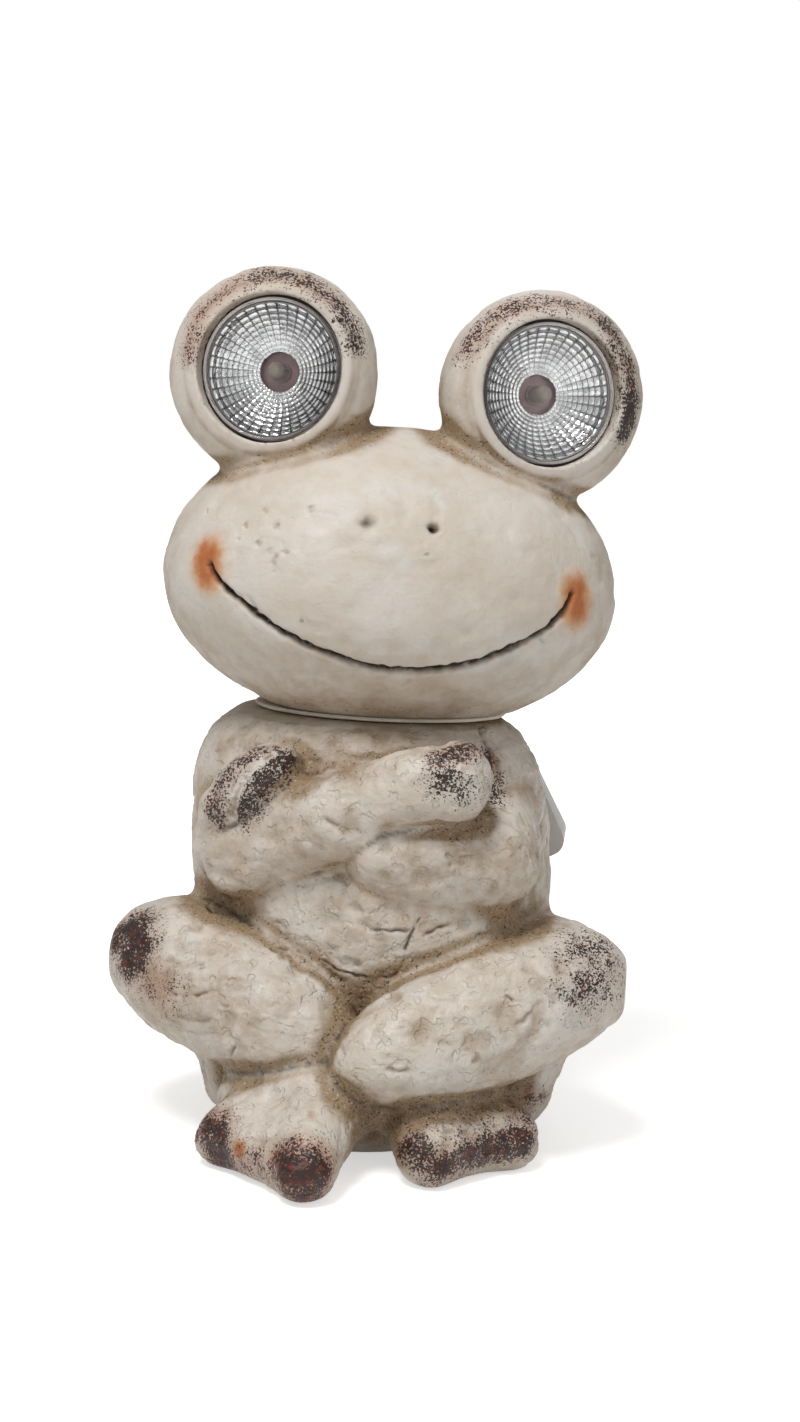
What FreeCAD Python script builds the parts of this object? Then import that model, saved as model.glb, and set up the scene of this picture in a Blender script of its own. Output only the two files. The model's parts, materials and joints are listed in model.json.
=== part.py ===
import FreeCAD, Part
import math
import os

V = FreeCAD.Vector

# Solar garden frog, sitting cross-legged with folded arms, in millimetres.
# Origin: centre of the flat base. Front of the frog: -Y. Up: +Z. The frog's left: +X.

# Body casting
torso_height = 123.0
torso_half_width = 55.0
torso_half_depth = 45.0
belly_radius = 40.0
shoulder_radius = 18.0
elbow_radius = 15.0
wrist_radius = 12.0
finger_radius = 9.2
hand_radius = 6.6
hip_radius = 24.0
knee_radius = 15.5
crossing_radius = 12.0
calf_radius = 13.2
calf_low_radius = 11.0
ankle_bridge_radius = 10.0
ankle_radius = 14.5
instep_radius = 12.3
right_heel_radius = 13.0
left_heel_radius = 11.0
toe_radius = 8.2
foot_ball_radius = 8.5
body_wall = 9.0

# Head casting
head_half_width = 67.2
head_half_depth = 51.0
head_rise = 47.0
head_drop = 42.5
head_above_neck = 36.0
head_offset = 1.5
head_forward = 2.0
head_turn_deg = 9.5
head_tilt_deg = 2.5
head_wall = 9.0
mouth_half_width = 52.0
mouth_offset = -2.0
mouth_rise = 22.0
mouth_drop = 19.7
mouth_width = 1.7
mouth_depth = 1.8
mouth_taper_share = 0.6
nostril_spacing = 17.8
nostril_offset = -1.2
nostril_height = 21.0
nostril_radius = 1.7
nostril_depth = 2.0

# Neck joint
neck_half_width = 38.0
neck_half_depth = 29.0
neck_passage_radius = 16.0
mortar_thickness = 1.2

# Eye turrets and the lamp modules in them
turret_radius = 30.6
turret_front = 17.0
turret_back = 25.0
turret_inset = 28.2
turret_rise = 12.2
turret_forward = 7.0
eye_splay_deg = 16.5
eye_pitch_deg = 4.0
lens_set_forward = 12.0
lens_shift = 2.4
socket_depth = 17.0
lens_radius = 20.3
lens_thickness = 2.2
lens_crown = 1.4
cup_depth = 13.0
cup_floor_radius = 12.5
cup_wall = 1.4
reflector_depth = 7.0
reflector_wall = 0.8
reflector_rim = 1.2
reflector_hole_radius = 5.2
reflector_curve = 1.7
seal_width = 1.6
seal_height = 2.0
seal_set_back = 2.6
led_radius = 2.5
led_flange_radius = 2.9
led_flange_height = 1.0
led_length = 8.6
lead_radius = 1.1
lead_spacing = 3.4
lead_bore_gap = 0.1
lead_bend_radius = 14.0
channel_radius = 5.0

# Solar module on the back
module_drop = 11.0
module_height = 50.0
module_top_half_width = 39.0
module_half_width = 57.5
module_bottom_half_width = 34.0
module_widest_height = 12.5
module_corner_radius = 5.0
module_top_depth = 8.0
module_depth = 25.0
module_step_height = 11.0
module_wall = 2.4
pad_stand_off = 1.0
pad_margin = 7.0
pad_root = 26.0
pad_taper_share = 0.9
gasket_thickness = 1.0
gasket_width = 3.0
base_plate_thickness = 2.5
panel_width = 48.0
panel_height = 32.0
panel_thickness = 1.4
panel_pocket_depth = 1.4
panel_clearance = 0.3
panel_lead_radius = 0.7
panel_lead_spacing = 24.0
housing_screw_radius = 1.5
housing_screw_head_radius = 2.8
housing_screw_head_height = 1.6
housing_screw_length = 17.0
housing_boss_radius = 4.2
housing_screw_top_inset = 9.0
housing_screw_top_drop = 11.5
housing_screw_low_inset = 19.5
housing_screw_low_rise = 5.5
wall_plug_radius = 3.0
wall_plug_length = 10.0
plug_screw_depth = 8.0

# Inside the solar module
board_width = 40.0
board_height = 18.0
board_thickness = 1.6
board_stand_off = 2.0
board_rise = 29.0
board_post_radius = 2.6
board_screw_radius = 1.0
board_screw_head_radius = 1.9
board_screw_head_height = 1.0
board_screw_grip = 1.8
board_screw_inset = 3.5
coil_radius = 3.6
coil_height = 4.5
chip_width = 5.0
chip_height = 4.0
chip_thickness = 1.4
cell_radius = 5.25
cell_length = 42.5
cell_button_radius = 1.9
cell_button_length = 1.0
cell_clearance = 0.35
contact_thickness = 0.5
contact_height = 9.0
contact_width = 8.0
leaf_reach = 3.0
rib_thickness = 1.5
rib_height = 12.0
grommet_radius = 4.5
grommet_flange_radius = 6.0
grommet_flange_thickness = 0.8

# Battery cover, sliding off downwards
bottom_wall = 3.4
cover_margin = 1.2
cover_rim = 1.4
cover_thickness = 1.6
cover_gap = 0.3
cover_seat_gap = 0.1
cover_seal_thickness = 0.5
cover_seal_width = 0.9
cover_screw_radius = 1.2
cover_screw_head_radius = 2.2
cover_screw_head_height = 0.9
cover_screw_length = 3.2
cover_screw_inset = 4.5
cover_boss_radius = 3.4
cover_boss_height = 5.0

# Power switch, sliding along X
switch_width = 9.0
switch_height = 4.6
switch_depth = 4.0
switch_rise = 6.0
switch_travel = 2.5
slider_width = 3.0
slider_height = 2.2
slider_proud = 1.4
slider_gap = 0.3
slider_root = 1.5

# Sides of round forms, which are regular polygons throughout
limb_sides = 16
limb_rows = 8
foot_sides = 12
foot_rows = 6
torso_sides = 28
head_sides = 30
head_rows = 14
turret_sides = 26
turret_rows = 9
core_sides = 12
lead_sides = 8
lead_bend_steps = 5
eye_sides = 30
cell_sides = 20
pin_sides = 12
reflector_rows = 9
mouth_steps = 16

# Shared values
overrun = 2.0
fit_gap = 0.3
UP = V(0, 0, 1)
RIGHT = V(1, 0, 0)
BACK = V(0, 1, 0)


def direction(vector):
    unit = V(vector)
    unit.normalize()
    return unit


def across(axis):
    """Two unit vectors square to an axis and to each other."""
    helper = BACK if abs(axis.z) > 0.9 else UP
    first = direction(helper.cross(axis))
    second = direction(axis.cross(first))
    return first, second


def flat_face(points):
    return Part.Face(Part.makePolygon(points + [points[0]]))


def faceted(rings):
    """Closed solid of flat facets through parallel rings, where a ring of one point is a tip."""
    faces = []
    for near, far in zip(rings, rings[1:]):
        count = max(len(near), len(far))
        for i in range(count):
            j = (i + 1) % count
            corners = [near[i % len(near)], near[j % len(near)], far[j % len(far)], far[i % len(far)]]
            if len(near) == 1:
                corners.pop(1)
            if len(far) == 1:
                corners.pop()
            faces.append(flat_face(corners))
    for end in (rings[0], rings[-1]):
        if len(end) > 1:
            faces.append(flat_face(end))
    solid = Part.Solid(Part.Shell(faces))
    if solid.Volume < 0:
        solid.reverse()
    return solid


def ring(centre, first, second, sides, turn_share=0.0):
    """Points round a centre, on the ellipse whose half axes are the two vectors."""
    if first.Length == 0:
        return [centre]
    angles = [2 * math.pi * (i + turn_share) / sides for i in range(sides)]
    return [centre + first * math.cos(a) + second * math.sin(a) for a in angles]


def turned(origin, axis, outline, sides):
    """Faceted body of revolution through (station, radius) pairs along an axis."""
    first, second = across(axis)
    rings = []
    for station, radius in outline:
        rings.append(ring(origin + axis * station, first * radius, second * radius, sides))
    return faceted(rings)


def turned_ring(origin, axis, low, high, radius, bore, sides):
    outside = turned(origin, axis, [(low, radius), (high, radius)], sides)
    return outside.cut(turned(origin, axis, [(low, bore), (high, bore)], sides))


def egg(start, end, radii, sides=limb_sides, rows=limb_rows):
    """Plump limb from one point to another, with its radii at the start, middle and end."""
    first_radius, middle_radius, last_radius = radii
    axis = direction(end - start)
    length = (end - start).Length + first_radius + last_radius
    fullness = max(2, length / middle_radius)
    outline = []
    for row in range(rows + 1):
        share = (1 - math.cos(math.pi * row / rows)) / 2
        radius = first_radius + (last_radius - first_radius) * share
        radius += 4 * share * (1 - share) * (middle_radius - (first_radius + last_radius) / 2)
        swell = (1 - abs(2 * share - 1) ** fullness) ** 0.5 if 0 < row < rows else 0.0
        outline.append((share * length - first_radius, radius * swell))
    return turned(start, axis, outline, sides)


def ellipsoid(centre, half_axes, drop, sides, rows, axes=(RIGHT, BACK, UP)):
    """Faceted ellipsoid whose lower half has its own height, the drop."""
    half_x, half_y, rise = half_axes
    right, back, up = axes
    rings = []
    for row in range(rows + 1):
        angle = math.pi * (row / rows - 0.5)
        height = math.sin(angle) * (rise if angle > 0 else drop)
        reach = math.cos(angle) if 0 < row < rows else 0.0
        rings.append(ring(centre + up * height, right * (half_x * reach), back * (half_y * reach), sides))
    return faceted(rings)


def rod(start, end, radius, sides=pin_sides):
    return turned(start, direction(end - start), [(0, radius), ((end - start).Length, radius)], sides)


def rod_back(x, z, low_y, high_y, radius):
    """Rod along Y at a place on the back."""
    return rod(V(x, low_y, z), V(x, high_y, z), radius)


def block(low, high):
    return Part.makeBox(high.x - low.x, high.y - low.y, high.z - low.z, low)


def fused(shapes):
    return shapes[0].multiFuse(shapes[1:]).removeSplitter()


def cut_all(shape, tools):
    return shape.cut(tools).removeSplitter()


# Body casting


def body_point(x_share, forward_share, z_share):
    """Place on the body: across, forwards and up, as shares of the torso's sizes."""
    return V(x_share * torso_half_width, -forward_share * torso_half_depth, z_share * torso_height)


# Torso rows: height, width and lean to the side
torso_profile_shares = [
    (0.0, 0.80, 0.0), (0.08, 0.89, 0.0), (0.22, 0.98, 0.0), (0.42, 1.0, 0.0), (0.72, 0.99, -0.03),
    (0.81, 0.97, -0.045), (0.88, 0.92, -0.05), (0.94, 0.86, -0.055), (1.0, 0.74, -0.06),
]
core_profile_shares = [(0.0, 0.84), (0.4, 1.0), (0.84, 0.84)]
belly_place_shares = (0.11, 0.32, 0.52)
belly_half_axis_shares = (1.1, 0.92, 0.85)

# Limbs run through places on the body. The frog's right forearm lies over the left one, its left hand
# shows above the right elbow, and its left leg crosses in front of the right one.
right_arm_shares = [
    (-0.71, 0.04, 0.815), (-0.61, 0.69, 0.69), (-0.09, 1.0, 0.80), (0.28, 1.07, 0.88), (0.48, 1.05, 0.895),
]
left_arm_shares = [(0.60, 0.04, 0.82), (0.65, 0.70, 0.69), (0.16, 0.97, 0.715)]
left_hand_shares = [(-0.74, 0.84, 0.775), (-0.43, 0.92, 0.905)]
right_thigh_shares = [(-0.69, 0.04, 0.33), (-1.06, 0.60, 0.40)]
right_shin_shares = [(-1.06, 0.60, 0.40), (-0.14, 1.15, 0.29)]
left_thigh_shares = [(0.69, 0.04, 0.35), (1.145, 0.58, 0.405)]
left_shin_shares = [(1.145, 0.58, 0.405), (0.16, 1.36, 0.265)]
right_calf_shares = [(-0.69, 0.50, 0.22), (-0.62, 0.55, 0.10)]
left_calf_shares = [(0.905, 0.45, 0.23), (0.825, 0.36, 0.10)]
ankle_bridge_shares = [(-0.10, 1.20, 0.155), (0.40, 1.0, 0.155)]
right_foot_shares = [(-0.10, 1.20, 0.15), (-0.45, 1.02, 0.125), (-0.59, 1.38, 0.062), (-0.11, 1.90, 0.062)]
left_foot_shares = [(0.40, 0.90, 0.15), (0.86, 0.20, 0.09), (0.49, 1.47, 0.062), (0.87, 1.04, 0.062)]
web_shares = (0.08, 0.4)


def torso():
    rings = []
    for height_share, width_share, lean_share in torso_profile_shares:
        centre = body_point(lean_share, 0, height_share)
        half_width = RIGHT * (width_share * torso_half_width)
        half_depth = BACK * (width_share * torso_half_depth)
        rings.append(ring(centre, half_width, half_depth, torso_sides, 0.5))
    return faceted(rings)


def belly():
    half_axes = [belly_radius * share for share in belly_half_axis_shares]
    return ellipsoid(body_point(*belly_place_shares), half_axes, half_axes[2], torso_sides, limb_rows)


def limb(place_shares, radii, fullness_shares):
    """Chain of plump limbs; each is as full in its middle as a share of its ends' mean radius."""
    places = [body_point(*shares) for shares in place_shares]
    limbs = []
    for i, fullness_share in enumerate(fullness_shares):
        middle_radius = fullness_share * (radii[i] + radii[i + 1]) / 2
        limbs.append(egg(places[i], places[i + 1], (radii[i], middle_radius, radii[i + 1])))
    return limbs


def arms():
    right_radii = [shoulder_radius, elbow_radius, wrist_radius, finger_radius, finger_radius]
    left_radii = [shoulder_radius, elbow_radius, wrist_radius]
    right_arm = limb(right_arm_shares, right_radii, (0.9, 1.06, 1.05, 1.03))
    left_arm = limb(left_arm_shares, left_radii, (0.9, 1.12))
    return right_arm + left_arm + limb(left_hand_shares, [hand_radius, hand_radius], (1.43,))


def legs():
    thighs = limb(right_thigh_shares, [hip_radius, knee_radius], (1.09,))
    thighs += limb(left_thigh_shares, [hip_radius, knee_radius], (1.08,))
    shins = limb(right_shin_shares, [knee_radius, crossing_radius], (1.53,))
    shins += limb(left_shin_shares, [knee_radius, crossing_radius], (1.45,))
    calf_radii = [calf_radius, calf_low_radius]
    calves = limb(right_calf_shares, calf_radii, (1.0,)) + limb(left_calf_shares, calf_radii, (1.0,))
    return thighs + shins + calves


def foot(place_shares, heel_radius):
    """A foot: ankle to heel, ankle to each toe, and the ball and web between the toes."""
    ankle, heel, outer_toe, inner_toe = [body_point(*shares) for shares in place_shares]
    heel_radii = (ankle_radius, (ankle_radius + heel_radius) / 2, heel_radius)
    masses = [egg(ankle, heel, heel_radii, foot_sides, foot_rows)]
    for toe in (outer_toe, inner_toe):
        masses.append(egg(ankle, toe, (ankle_radius, instep_radius, toe_radius), foot_sides, foot_rows))
    for share in web_shares:
        web_start = outer_toe + (ankle - outer_toe) * share
        web_end = inner_toe + (ankle - inner_toe) * share
        masses.append(egg(web_start, web_end, (foot_ball_radius,) * 3, foot_sides, foot_rows))
    return masses


def feet():
    bridge = limb(ankle_bridge_shares, [ankle_bridge_radius, ankle_bridge_radius], (1.0,))
    return foot(right_foot_shares, right_heel_radius) + foot(left_foot_shares, left_heel_radius) + bridge


def neck_passage(low, high):
    return turned(UP * 0, UP, [(low, neck_passage_radius), (high, neck_passage_radius)], core_sides)


def body_core():
    rings = []
    for height_share, width_share in core_profile_shares:
        height = body_wall + height_share * (torso_height - body_wall)
        half_width = RIGHT * (width_share * (torso_half_width - body_wall))
        half_depth = BACK * (width_share * (torso_half_depth - body_wall))
        rings.append(ring(UP * height, half_width, half_depth, core_sides, 0.5))
    return [faceted(rings), neck_passage(height - overrun, torso_height + overrun)]


# Solar module: places shared by the casting and the module's pieces

seat_y = torso_half_depth + pad_stand_off
plate_y = seat_y + gasket_thickness
rim_y = plate_y + base_plate_thickness
module_top = torso_height - module_drop
module_bottom = module_top - module_height
socket_radius = lens_radius + seal_width
step_z = module_bottom + module_step_height
slope_start = V(0, seat_y + module_top_depth, module_top)
slope_end = V(0, seat_y + module_depth, step_z)
slope_down = direction(slope_end - slope_start)
slope_normal = direction(RIGHT.cross(slope_down))
if slope_normal.y < 0:
    slope_normal = -slope_normal
cable_z = module_bottom + board_rise
board_y = rim_y + board_stand_off
board_z = cable_z
screw_places = []
for side in (-1, 1):
    top_x = side * (module_top_half_width - housing_screw_top_inset)
    low_x = side * (module_half_width - housing_screw_low_inset)
    screw_places.append((top_x, module_top - housing_screw_top_drop))
    screw_places.append((low_x, module_bottom + module_widest_height + housing_screw_low_rise))


def module_outline(inset, y):
    """Wire of the module's outline seen from behind, drawn in by the inset, at a depth."""
    corners = [
        (-module_top_half_width, module_height), (module_top_half_width, module_height),
        (module_half_width, module_widest_height), (module_bottom_half_width, 0),
        (-module_bottom_half_width, 0), (-module_half_width, module_widest_height),
    ]
    lines = []
    count = len(corners)
    points = [V(x, y, module_bottom + z) for x, z in corners]
    for i in range(count):
        start, end = points[i], points[(i + 1) % count]
        inward = direction(BACK.cross(end - start)) * inset
        lines.append((start + inward, direction(end - start)))
    inner = []
    for i in range(count):
        (first, along), (second, other) = lines[i - 1], lines[i]
        share = (second - first).cross(other).y / along.cross(other).y
        inner.append(first + along * share)
    return inner


def module_block(inset, front, back, radius):
    """Module outline pushed from one depth to another, with its corners rounded."""
    solid = flat_face(module_outline(inset, front)).extrude(BACK * (back - front))
    edges = [e for e in solid.Edges if abs(e.Vertexes[0].Y - e.Vertexes[-1].Y) > (back - front) / 2]
    return solid.makeFillet(radius, edges)


def behind_slope(cap):
    """Everything behind the module's sloped back, moved in by the cap's thickness."""
    shift = slope_normal * -cap
    start = slope_start + shift - slope_down * module_height
    end = slope_end + shift + slope_down * module_height
    reach = slope_normal * module_depth * 2
    low = flat_face([start, end, end + reach, start + reach])
    half = RIGHT * (module_half_width + overrun)
    low.translate(-half)
    return low.extrude(half * 2)


def module_pad():
    """Flat seat for the module, which runs into the torso with tapering sides."""
    middle = V(0, seat_y, module_bottom + module_height / 2)
    seat = module_outline(pad_margin, seat_y)
    root = [middle + (point - middle) * pad_taper_share - BACK * pad_root for point in seat]
    return faceted([seat, root])


def body_casting():
    casting = fused([torso(), belly()] + arms() + legs() + feet())
    tools = body_core()
    for x, z in screw_places:
        tools.append(rod_back(x, z, seat_y - wall_plug_length, seat_y + overrun, wall_plug_radius))
    tools.append(rod_back(0, cable_z, 0, seat_y + overrun, channel_radius))
    far = torso_half_width + torso_half_depth + torso_height
    tools.append(block(V(-far, -far, -far), V(far, far, 0)))
    tools.append(block(V(-far, -far, torso_height), V(far, far, far)))
    return cut_all(casting.fuse(module_pad()), tools)


# Head casting, whose own axes are turned and tilted

head_rotation = FreeCAD.Rotation(UP, head_turn_deg).multiply(FreeCAD.Rotation(BACK, head_tilt_deg))
head_bottom = torso_height + mortar_thickness
turret_reach = head_half_width - turret_inset
turret_height = head_rise + turret_rise
head_centre = V(head_offset, -head_forward, head_bottom + head_above_neck)
head_axes = tuple(head_rotation.multVec(axis) for axis in (RIGHT, BACK, UP))


def head_point(x, y, z):
    return head_centre + head_rotation.multVec(V(x, y, z))


def head_ball(half_axes, drop, sides, rows):
    return ellipsoid(head_centre, half_axes, drop, sides, rows, head_axes)


def eye_axis(side):
    splay = math.radians(eye_splay_deg) * side
    pitch = math.radians(eye_pitch_deg)
    local = V(math.sin(splay) * math.cos(pitch), -math.cos(splay) * math.cos(pitch), math.sin(pitch))
    return head_rotation.multVec(local)


def turret_centre(side):
    return head_point(side * turret_reach, -turret_forward, turret_height)


def lens_centre(side):
    """Middle of the lens's front plane, which sits a little nearer the face's middle than its turret."""
    return head_point(
        side * (turret_reach - lens_shift), -turret_forward, turret_height
    ) + eye_axis(side) * lens_set_forward


def turret(side):
    """Fat ring round a lamp: rounded at the back, with a broad rounded lip in front."""
    roundness = 2.5
    outline = []
    for row in range(turret_rows):
        angle = math.pi * (row / turret_rows - 0.5)
        reach = turret_front if angle > 0 else turret_back
        power = 2 / roundness if angle > 0 else 1
        station = math.copysign(abs(math.sin(angle)) ** power * reach, angle)
        radius = max(math.cos(angle), 0) ** power * turret_radius if row else 0.0
        outline.append((station, radius))
    return turned(turret_centre(side), eye_axis(side), outline, turret_sides)


def mouth_groove():
    """Smile cut along the head's front, as a thin curved band that stays near the surface."""
    upper = []
    lower = []
    for step in range(mouth_steps + 1):
        share = 2 * step / mouth_steps - 1
        x = share * mouth_half_width
        z = mouth_rise * abs(share) ** 3 - mouth_drop
        half = mouth_width / 2 * (1 - share ** 4 * mouth_taper_share)
        upper.append(head_point(x + mouth_offset, -head_half_depth - overrun, z + half))
        lower.append(head_point(x + mouth_offset, -head_half_depth - overrun, z - half))
    band = flat_face(upper + lower[::-1]).extrude(head_axes[1] * (head_half_depth + overrun))
    half_axes = (head_half_width - mouth_depth, head_half_depth - mouth_depth, head_rise - mouth_depth)
    return band.cut(head_ball(half_axes, head_drop - mouth_depth, head_sides, head_rows))


def nostrils():
    pits = []
    for side in (-1, 1):
        x = side * nostril_spacing / 2 + nostril_offset
        share = (x / head_half_width) ** 2 + (nostril_height / head_rise) ** 2
        y = -head_half_depth * math.sqrt(1 - share)
        pit = [(-nostril_depth, nostril_radius / 2), (nostril_depth, nostril_radius * 1.5)]
        pits.append(turned(head_point(x, y, nostril_height), -head_axes[1], pit, 8))
    return pits


lead_entry_shares = (0.48, 0.3)


def lead_turn(side):
    """Where an eye's lead turns down into the head, behind the lamp."""
    return lens_centre(side) - eye_axis(side) * (socket_depth - lead_radius * 2)


def lead_entry(side):
    across_share, up_share = lead_entry_shares
    return head_point(side * across_share * turret_reach, 0, up_share * head_rise)


def head_casting():
    half_axes = (head_half_width, head_half_depth, head_rise)
    masses = [head_ball(half_axes, head_drop, head_sides, head_rows), turret(-1), turret(1)]
    core_axes = [half - head_wall for half in half_axes]
    tools = [head_ball(core_axes, head_drop - head_wall, core_sides, core_sides // 2)]
    tools.append(neck_passage(torso_height, head_centre.z))
    for side in (-1, 1):
        axis = eye_axis(side)
        front = lens_centre(side) + axis * turret_front
        tools.append(rod(lens_centre(side) - axis * socket_depth, front, socket_radius, eye_sides))
        tools.append(rod(lead_turn(side), lead_entry(side), channel_radius))
    tools.append(mouth_groove())
    tools += nostrils()
    far = head_half_width + head_rise
    tools.append(block(V(-far, -far, head_bottom - far), V(far, far, head_bottom)))
    return cut_all(fused(masses), tools)


def neck_mortar():
    rings = []
    for height in (torso_height, head_bottom):
        rings.append(ring(UP * height, RIGHT * neck_half_width, BACK * neck_half_depth, torso_sides, 0.5))
    return faceted(rings).cut(neck_passage(torso_height - overrun, head_bottom + overrun))


# Lamp modules in the eyes, drawn along each eye's axis from the lens's front plane inwards

lens_dome_shares = [(0.7, 0.6), (1.0, 0.2)]
led_dome_shares = [(0.6, 0.8), (1.0, 0.25)]
lens_back = -lens_thickness
ledge = lens_back - reflector_rim
cup_inside_radius = lens_radius - cup_wall
reflector_front_radius = cup_inside_radius - reflector_wall
cup_floor = -cup_depth + cup_wall


def eye_lens(side):
    outline = [(lens_back, lens_radius), (0, lens_radius)]
    outline += [(lens_crown * rise, lens_radius * reach) for rise, reach in lens_dome_shares]
    return turned(lens_centre(side), eye_axis(side), outline, eye_sides)


def eye_cup(side):
    outside = [(-cup_depth, cup_floor_radius), (ledge - cup_wall, lens_radius), (lens_back, lens_radius)]
    inside = [
        (cup_floor, cup_floor_radius - cup_wall), (ledge, cup_inside_radius - cup_wall),
    ]
    mouth = [(ledge, cup_inside_radius), (lens_back + overrun, cup_inside_radius)]
    hole = [(-cup_depth - overrun, lead_radius + fit_gap), (cup_floor + overrun, lead_radius + fit_gap)]
    centre, axis = lens_centre(side), eye_axis(side)
    tools = [turned(centre, axis, inside, eye_sides), turned(centre, axis, mouth, eye_sides)]
    tools.append(turned(centre, axis, hole, pin_sides))
    return cut_all(turned(centre, axis, outside, eye_sides), tools)


def eye_reflector(side):
    """Dished insert of flat facets, nine rings by thirty sectors, open in the middle."""
    centre, axis = lens_centre(side), eye_axis(side)
    reach = reflector_front_radius - reflector_hole_radius
    bowl = []
    for row in range(reflector_rows + 1):
        share = row / reflector_rows
        station = lens_back - reflector_depth * (1 - share ** reflector_curve)
        bowl.append((station, reflector_hole_radius + reach * share))
    back = [(station - reflector_wall, radius) for station, radius in (bowl[0], bowl[reflector_rows // 2])]
    back += [(ledge, cup_inside_radius - cup_wall), (ledge, cup_inside_radius)]
    back.append((lens_back, cup_inside_radius))
    first, second = across(axis)
    rings = []
    for station, radius in back + bowl[::-1] + back[:1]:
        rings.append(ring(centre + axis * station, first * radius, second * radius, eye_sides))
    return closed_band(rings)


def closed_band(rings):
    """Ring-shaped solid whose section runs through the rings, the last of which is the first again."""
    faces = []
    for near, far in zip(rings, rings[1:]):
        for i in range(len(near)):
            j = (i + 1) % len(near)
            faces.append(flat_face([near[i], near[j], far[j], far[i]]))
    solid = Part.Solid(Part.Shell(faces))
    if solid.Volume < 0:
        solid.reverse()
    return solid


def eye_seal(side):
    low = -seal_set_back - seal_height
    centre, axis = lens_centre(side), eye_axis(side)
    return turned_ring(centre, axis, low, -seal_set_back, socket_radius, lens_radius, eye_sides)


def eye_led(side):
    flange_top = cup_floor + led_flange_height
    shoulder = cup_floor + led_length - led_radius
    outline = [
        (cup_floor, led_flange_radius), (flange_top, led_flange_radius), (flange_top, led_radius),
        (shoulder, led_radius),
    ]
    outline += [(shoulder + led_radius * rise, led_radius * reach) for rise, reach in led_dome_shares]
    return turned(lens_centre(side), eye_axis(side), outline, pin_sides)


lead_hang_share = 0.3
lead_bend_share = 0.45


def lead_points(side):
    """Route of an eye's lead: lamp, turret, head, neck, torso, then back to the circuit board."""
    x = side * lead_spacing / 2
    return [
        lens_centre(side) + eye_axis(side) * cup_floor,
        lead_turn(side),
        lead_entry(side),
        V(side * lead_spacing, 0, head_bottom),
        V(x, seat_y * lead_hang_share, cable_z + lead_bend_radius / 2),
        V(x, seat_y - lead_bend_radius / 2, cable_z),
        V(x, board_y, cable_z),
    ]


def eye_lead(side):
    """Tube through the route's points, with mitred joints along the arcs that round its corners."""
    points = lead_points(side)
    path = [points[0]]
    for before, corner, after in zip(points, points[1:], points[2:]):
        into, away = direction(corner - before), direction(after - corner)
        half_turn = into.getAngle(away) / 2
        room = lead_bend_share * min((corner - before).Length, (after - corner).Length)
        trim = min(room, lead_bend_radius * math.tan(half_turn))
        radius = trim / math.tan(half_turn)
        middle = corner + direction(away - into) * (radius / math.cos(half_turn) - radius)
        bend = Part.Arc(corner - into * trim, middle, corner + away * trim).toShape()
        path += bend.discretize(lead_bend_steps)
    path.append(points[-1])
    first, second = across(direction(path[1] - path[0]))
    rings = [ring(path[0], first * lead_radius, second * lead_radius, lead_sides)]
    for corner, before, after in zip(path[1:], path, path[2:] + path[-1:]):
        run = direction(corner - before)
        mitre = run + direction(after - corner) if after != corner else run
        rings.append([point + run * ((corner - point).dot(mitre) / run.dot(mitre)) for point in rings[-1]])
    return faceted(rings)


# Solar module pieces

hatch_length = cell_length + cell_button_length + leaf_reach + 2 * contact_thickness
hatch_half_y = cell_radius + cell_clearance
cover_length = hatch_length + cover_margin + 2 * cover_screw_inset
cover_half_y = hatch_half_y + cover_margin
cover_screw_x = cover_length / 2 - cover_screw_inset
hatch_low_x = cover_margin - cover_length / 2
hatch_high_x = hatch_low_x + hatch_length
cell_start = hatch_low_x + contact_thickness + leaf_reach
cell_end = cell_start + cell_length
cell_y = rim_y + cover_rim + cover_gap + cover_half_y
cell_z = module_bottom + bottom_wall + cell_clearance + cell_radius
pocket_top = module_bottom + cover_thickness + cover_seal_thickness + cover_seat_gap
inner_back_y = seat_y + module_depth - module_wall
switch_z = module_bottom + switch_rise
slot_half = (slider_width + switch_travel) / 2 + slider_gap
slot_bottom = switch_z - slider_height / 2 - slider_gap
slot_top = switch_z + slider_height / 2 + slider_gap
panel_lead_places = (-panel_lead_spacing / 2, panel_lead_spacing / 2)
board_screw_places = [side * (board_width / 2 - board_screw_inset) for side in (-1, 1)]
screw_seat_y = seat_y - plug_screw_depth + housing_screw_length
coil_place_share = 0.2
chip_place_share = -0.25


def panel_box(width, height, top, depth):
    """Box on the sloped back, from a level above it down to a depth below it."""
    centre = (slope_start + slope_end) * 0.5 + slope_normal * top
    half_x, half_z = RIGHT * (width / 2), slope_down * (height / 2)
    top_edge = [centre - half_x - half_z, centre + half_x - half_z]
    bottom_edge = [centre + half_x + half_z, centre - half_x + half_z]
    return flat_face(top_edge + bottom_edge).extrude(slope_normal * -(top + depth))


def slope_y(z):
    """Depth of the sloped back's surface at a height."""
    share = (slope_start.z - z) / (slope_start.z - slope_end.z)
    return slope_start.y + share * (slope_end.y - slope_start.y)


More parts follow.
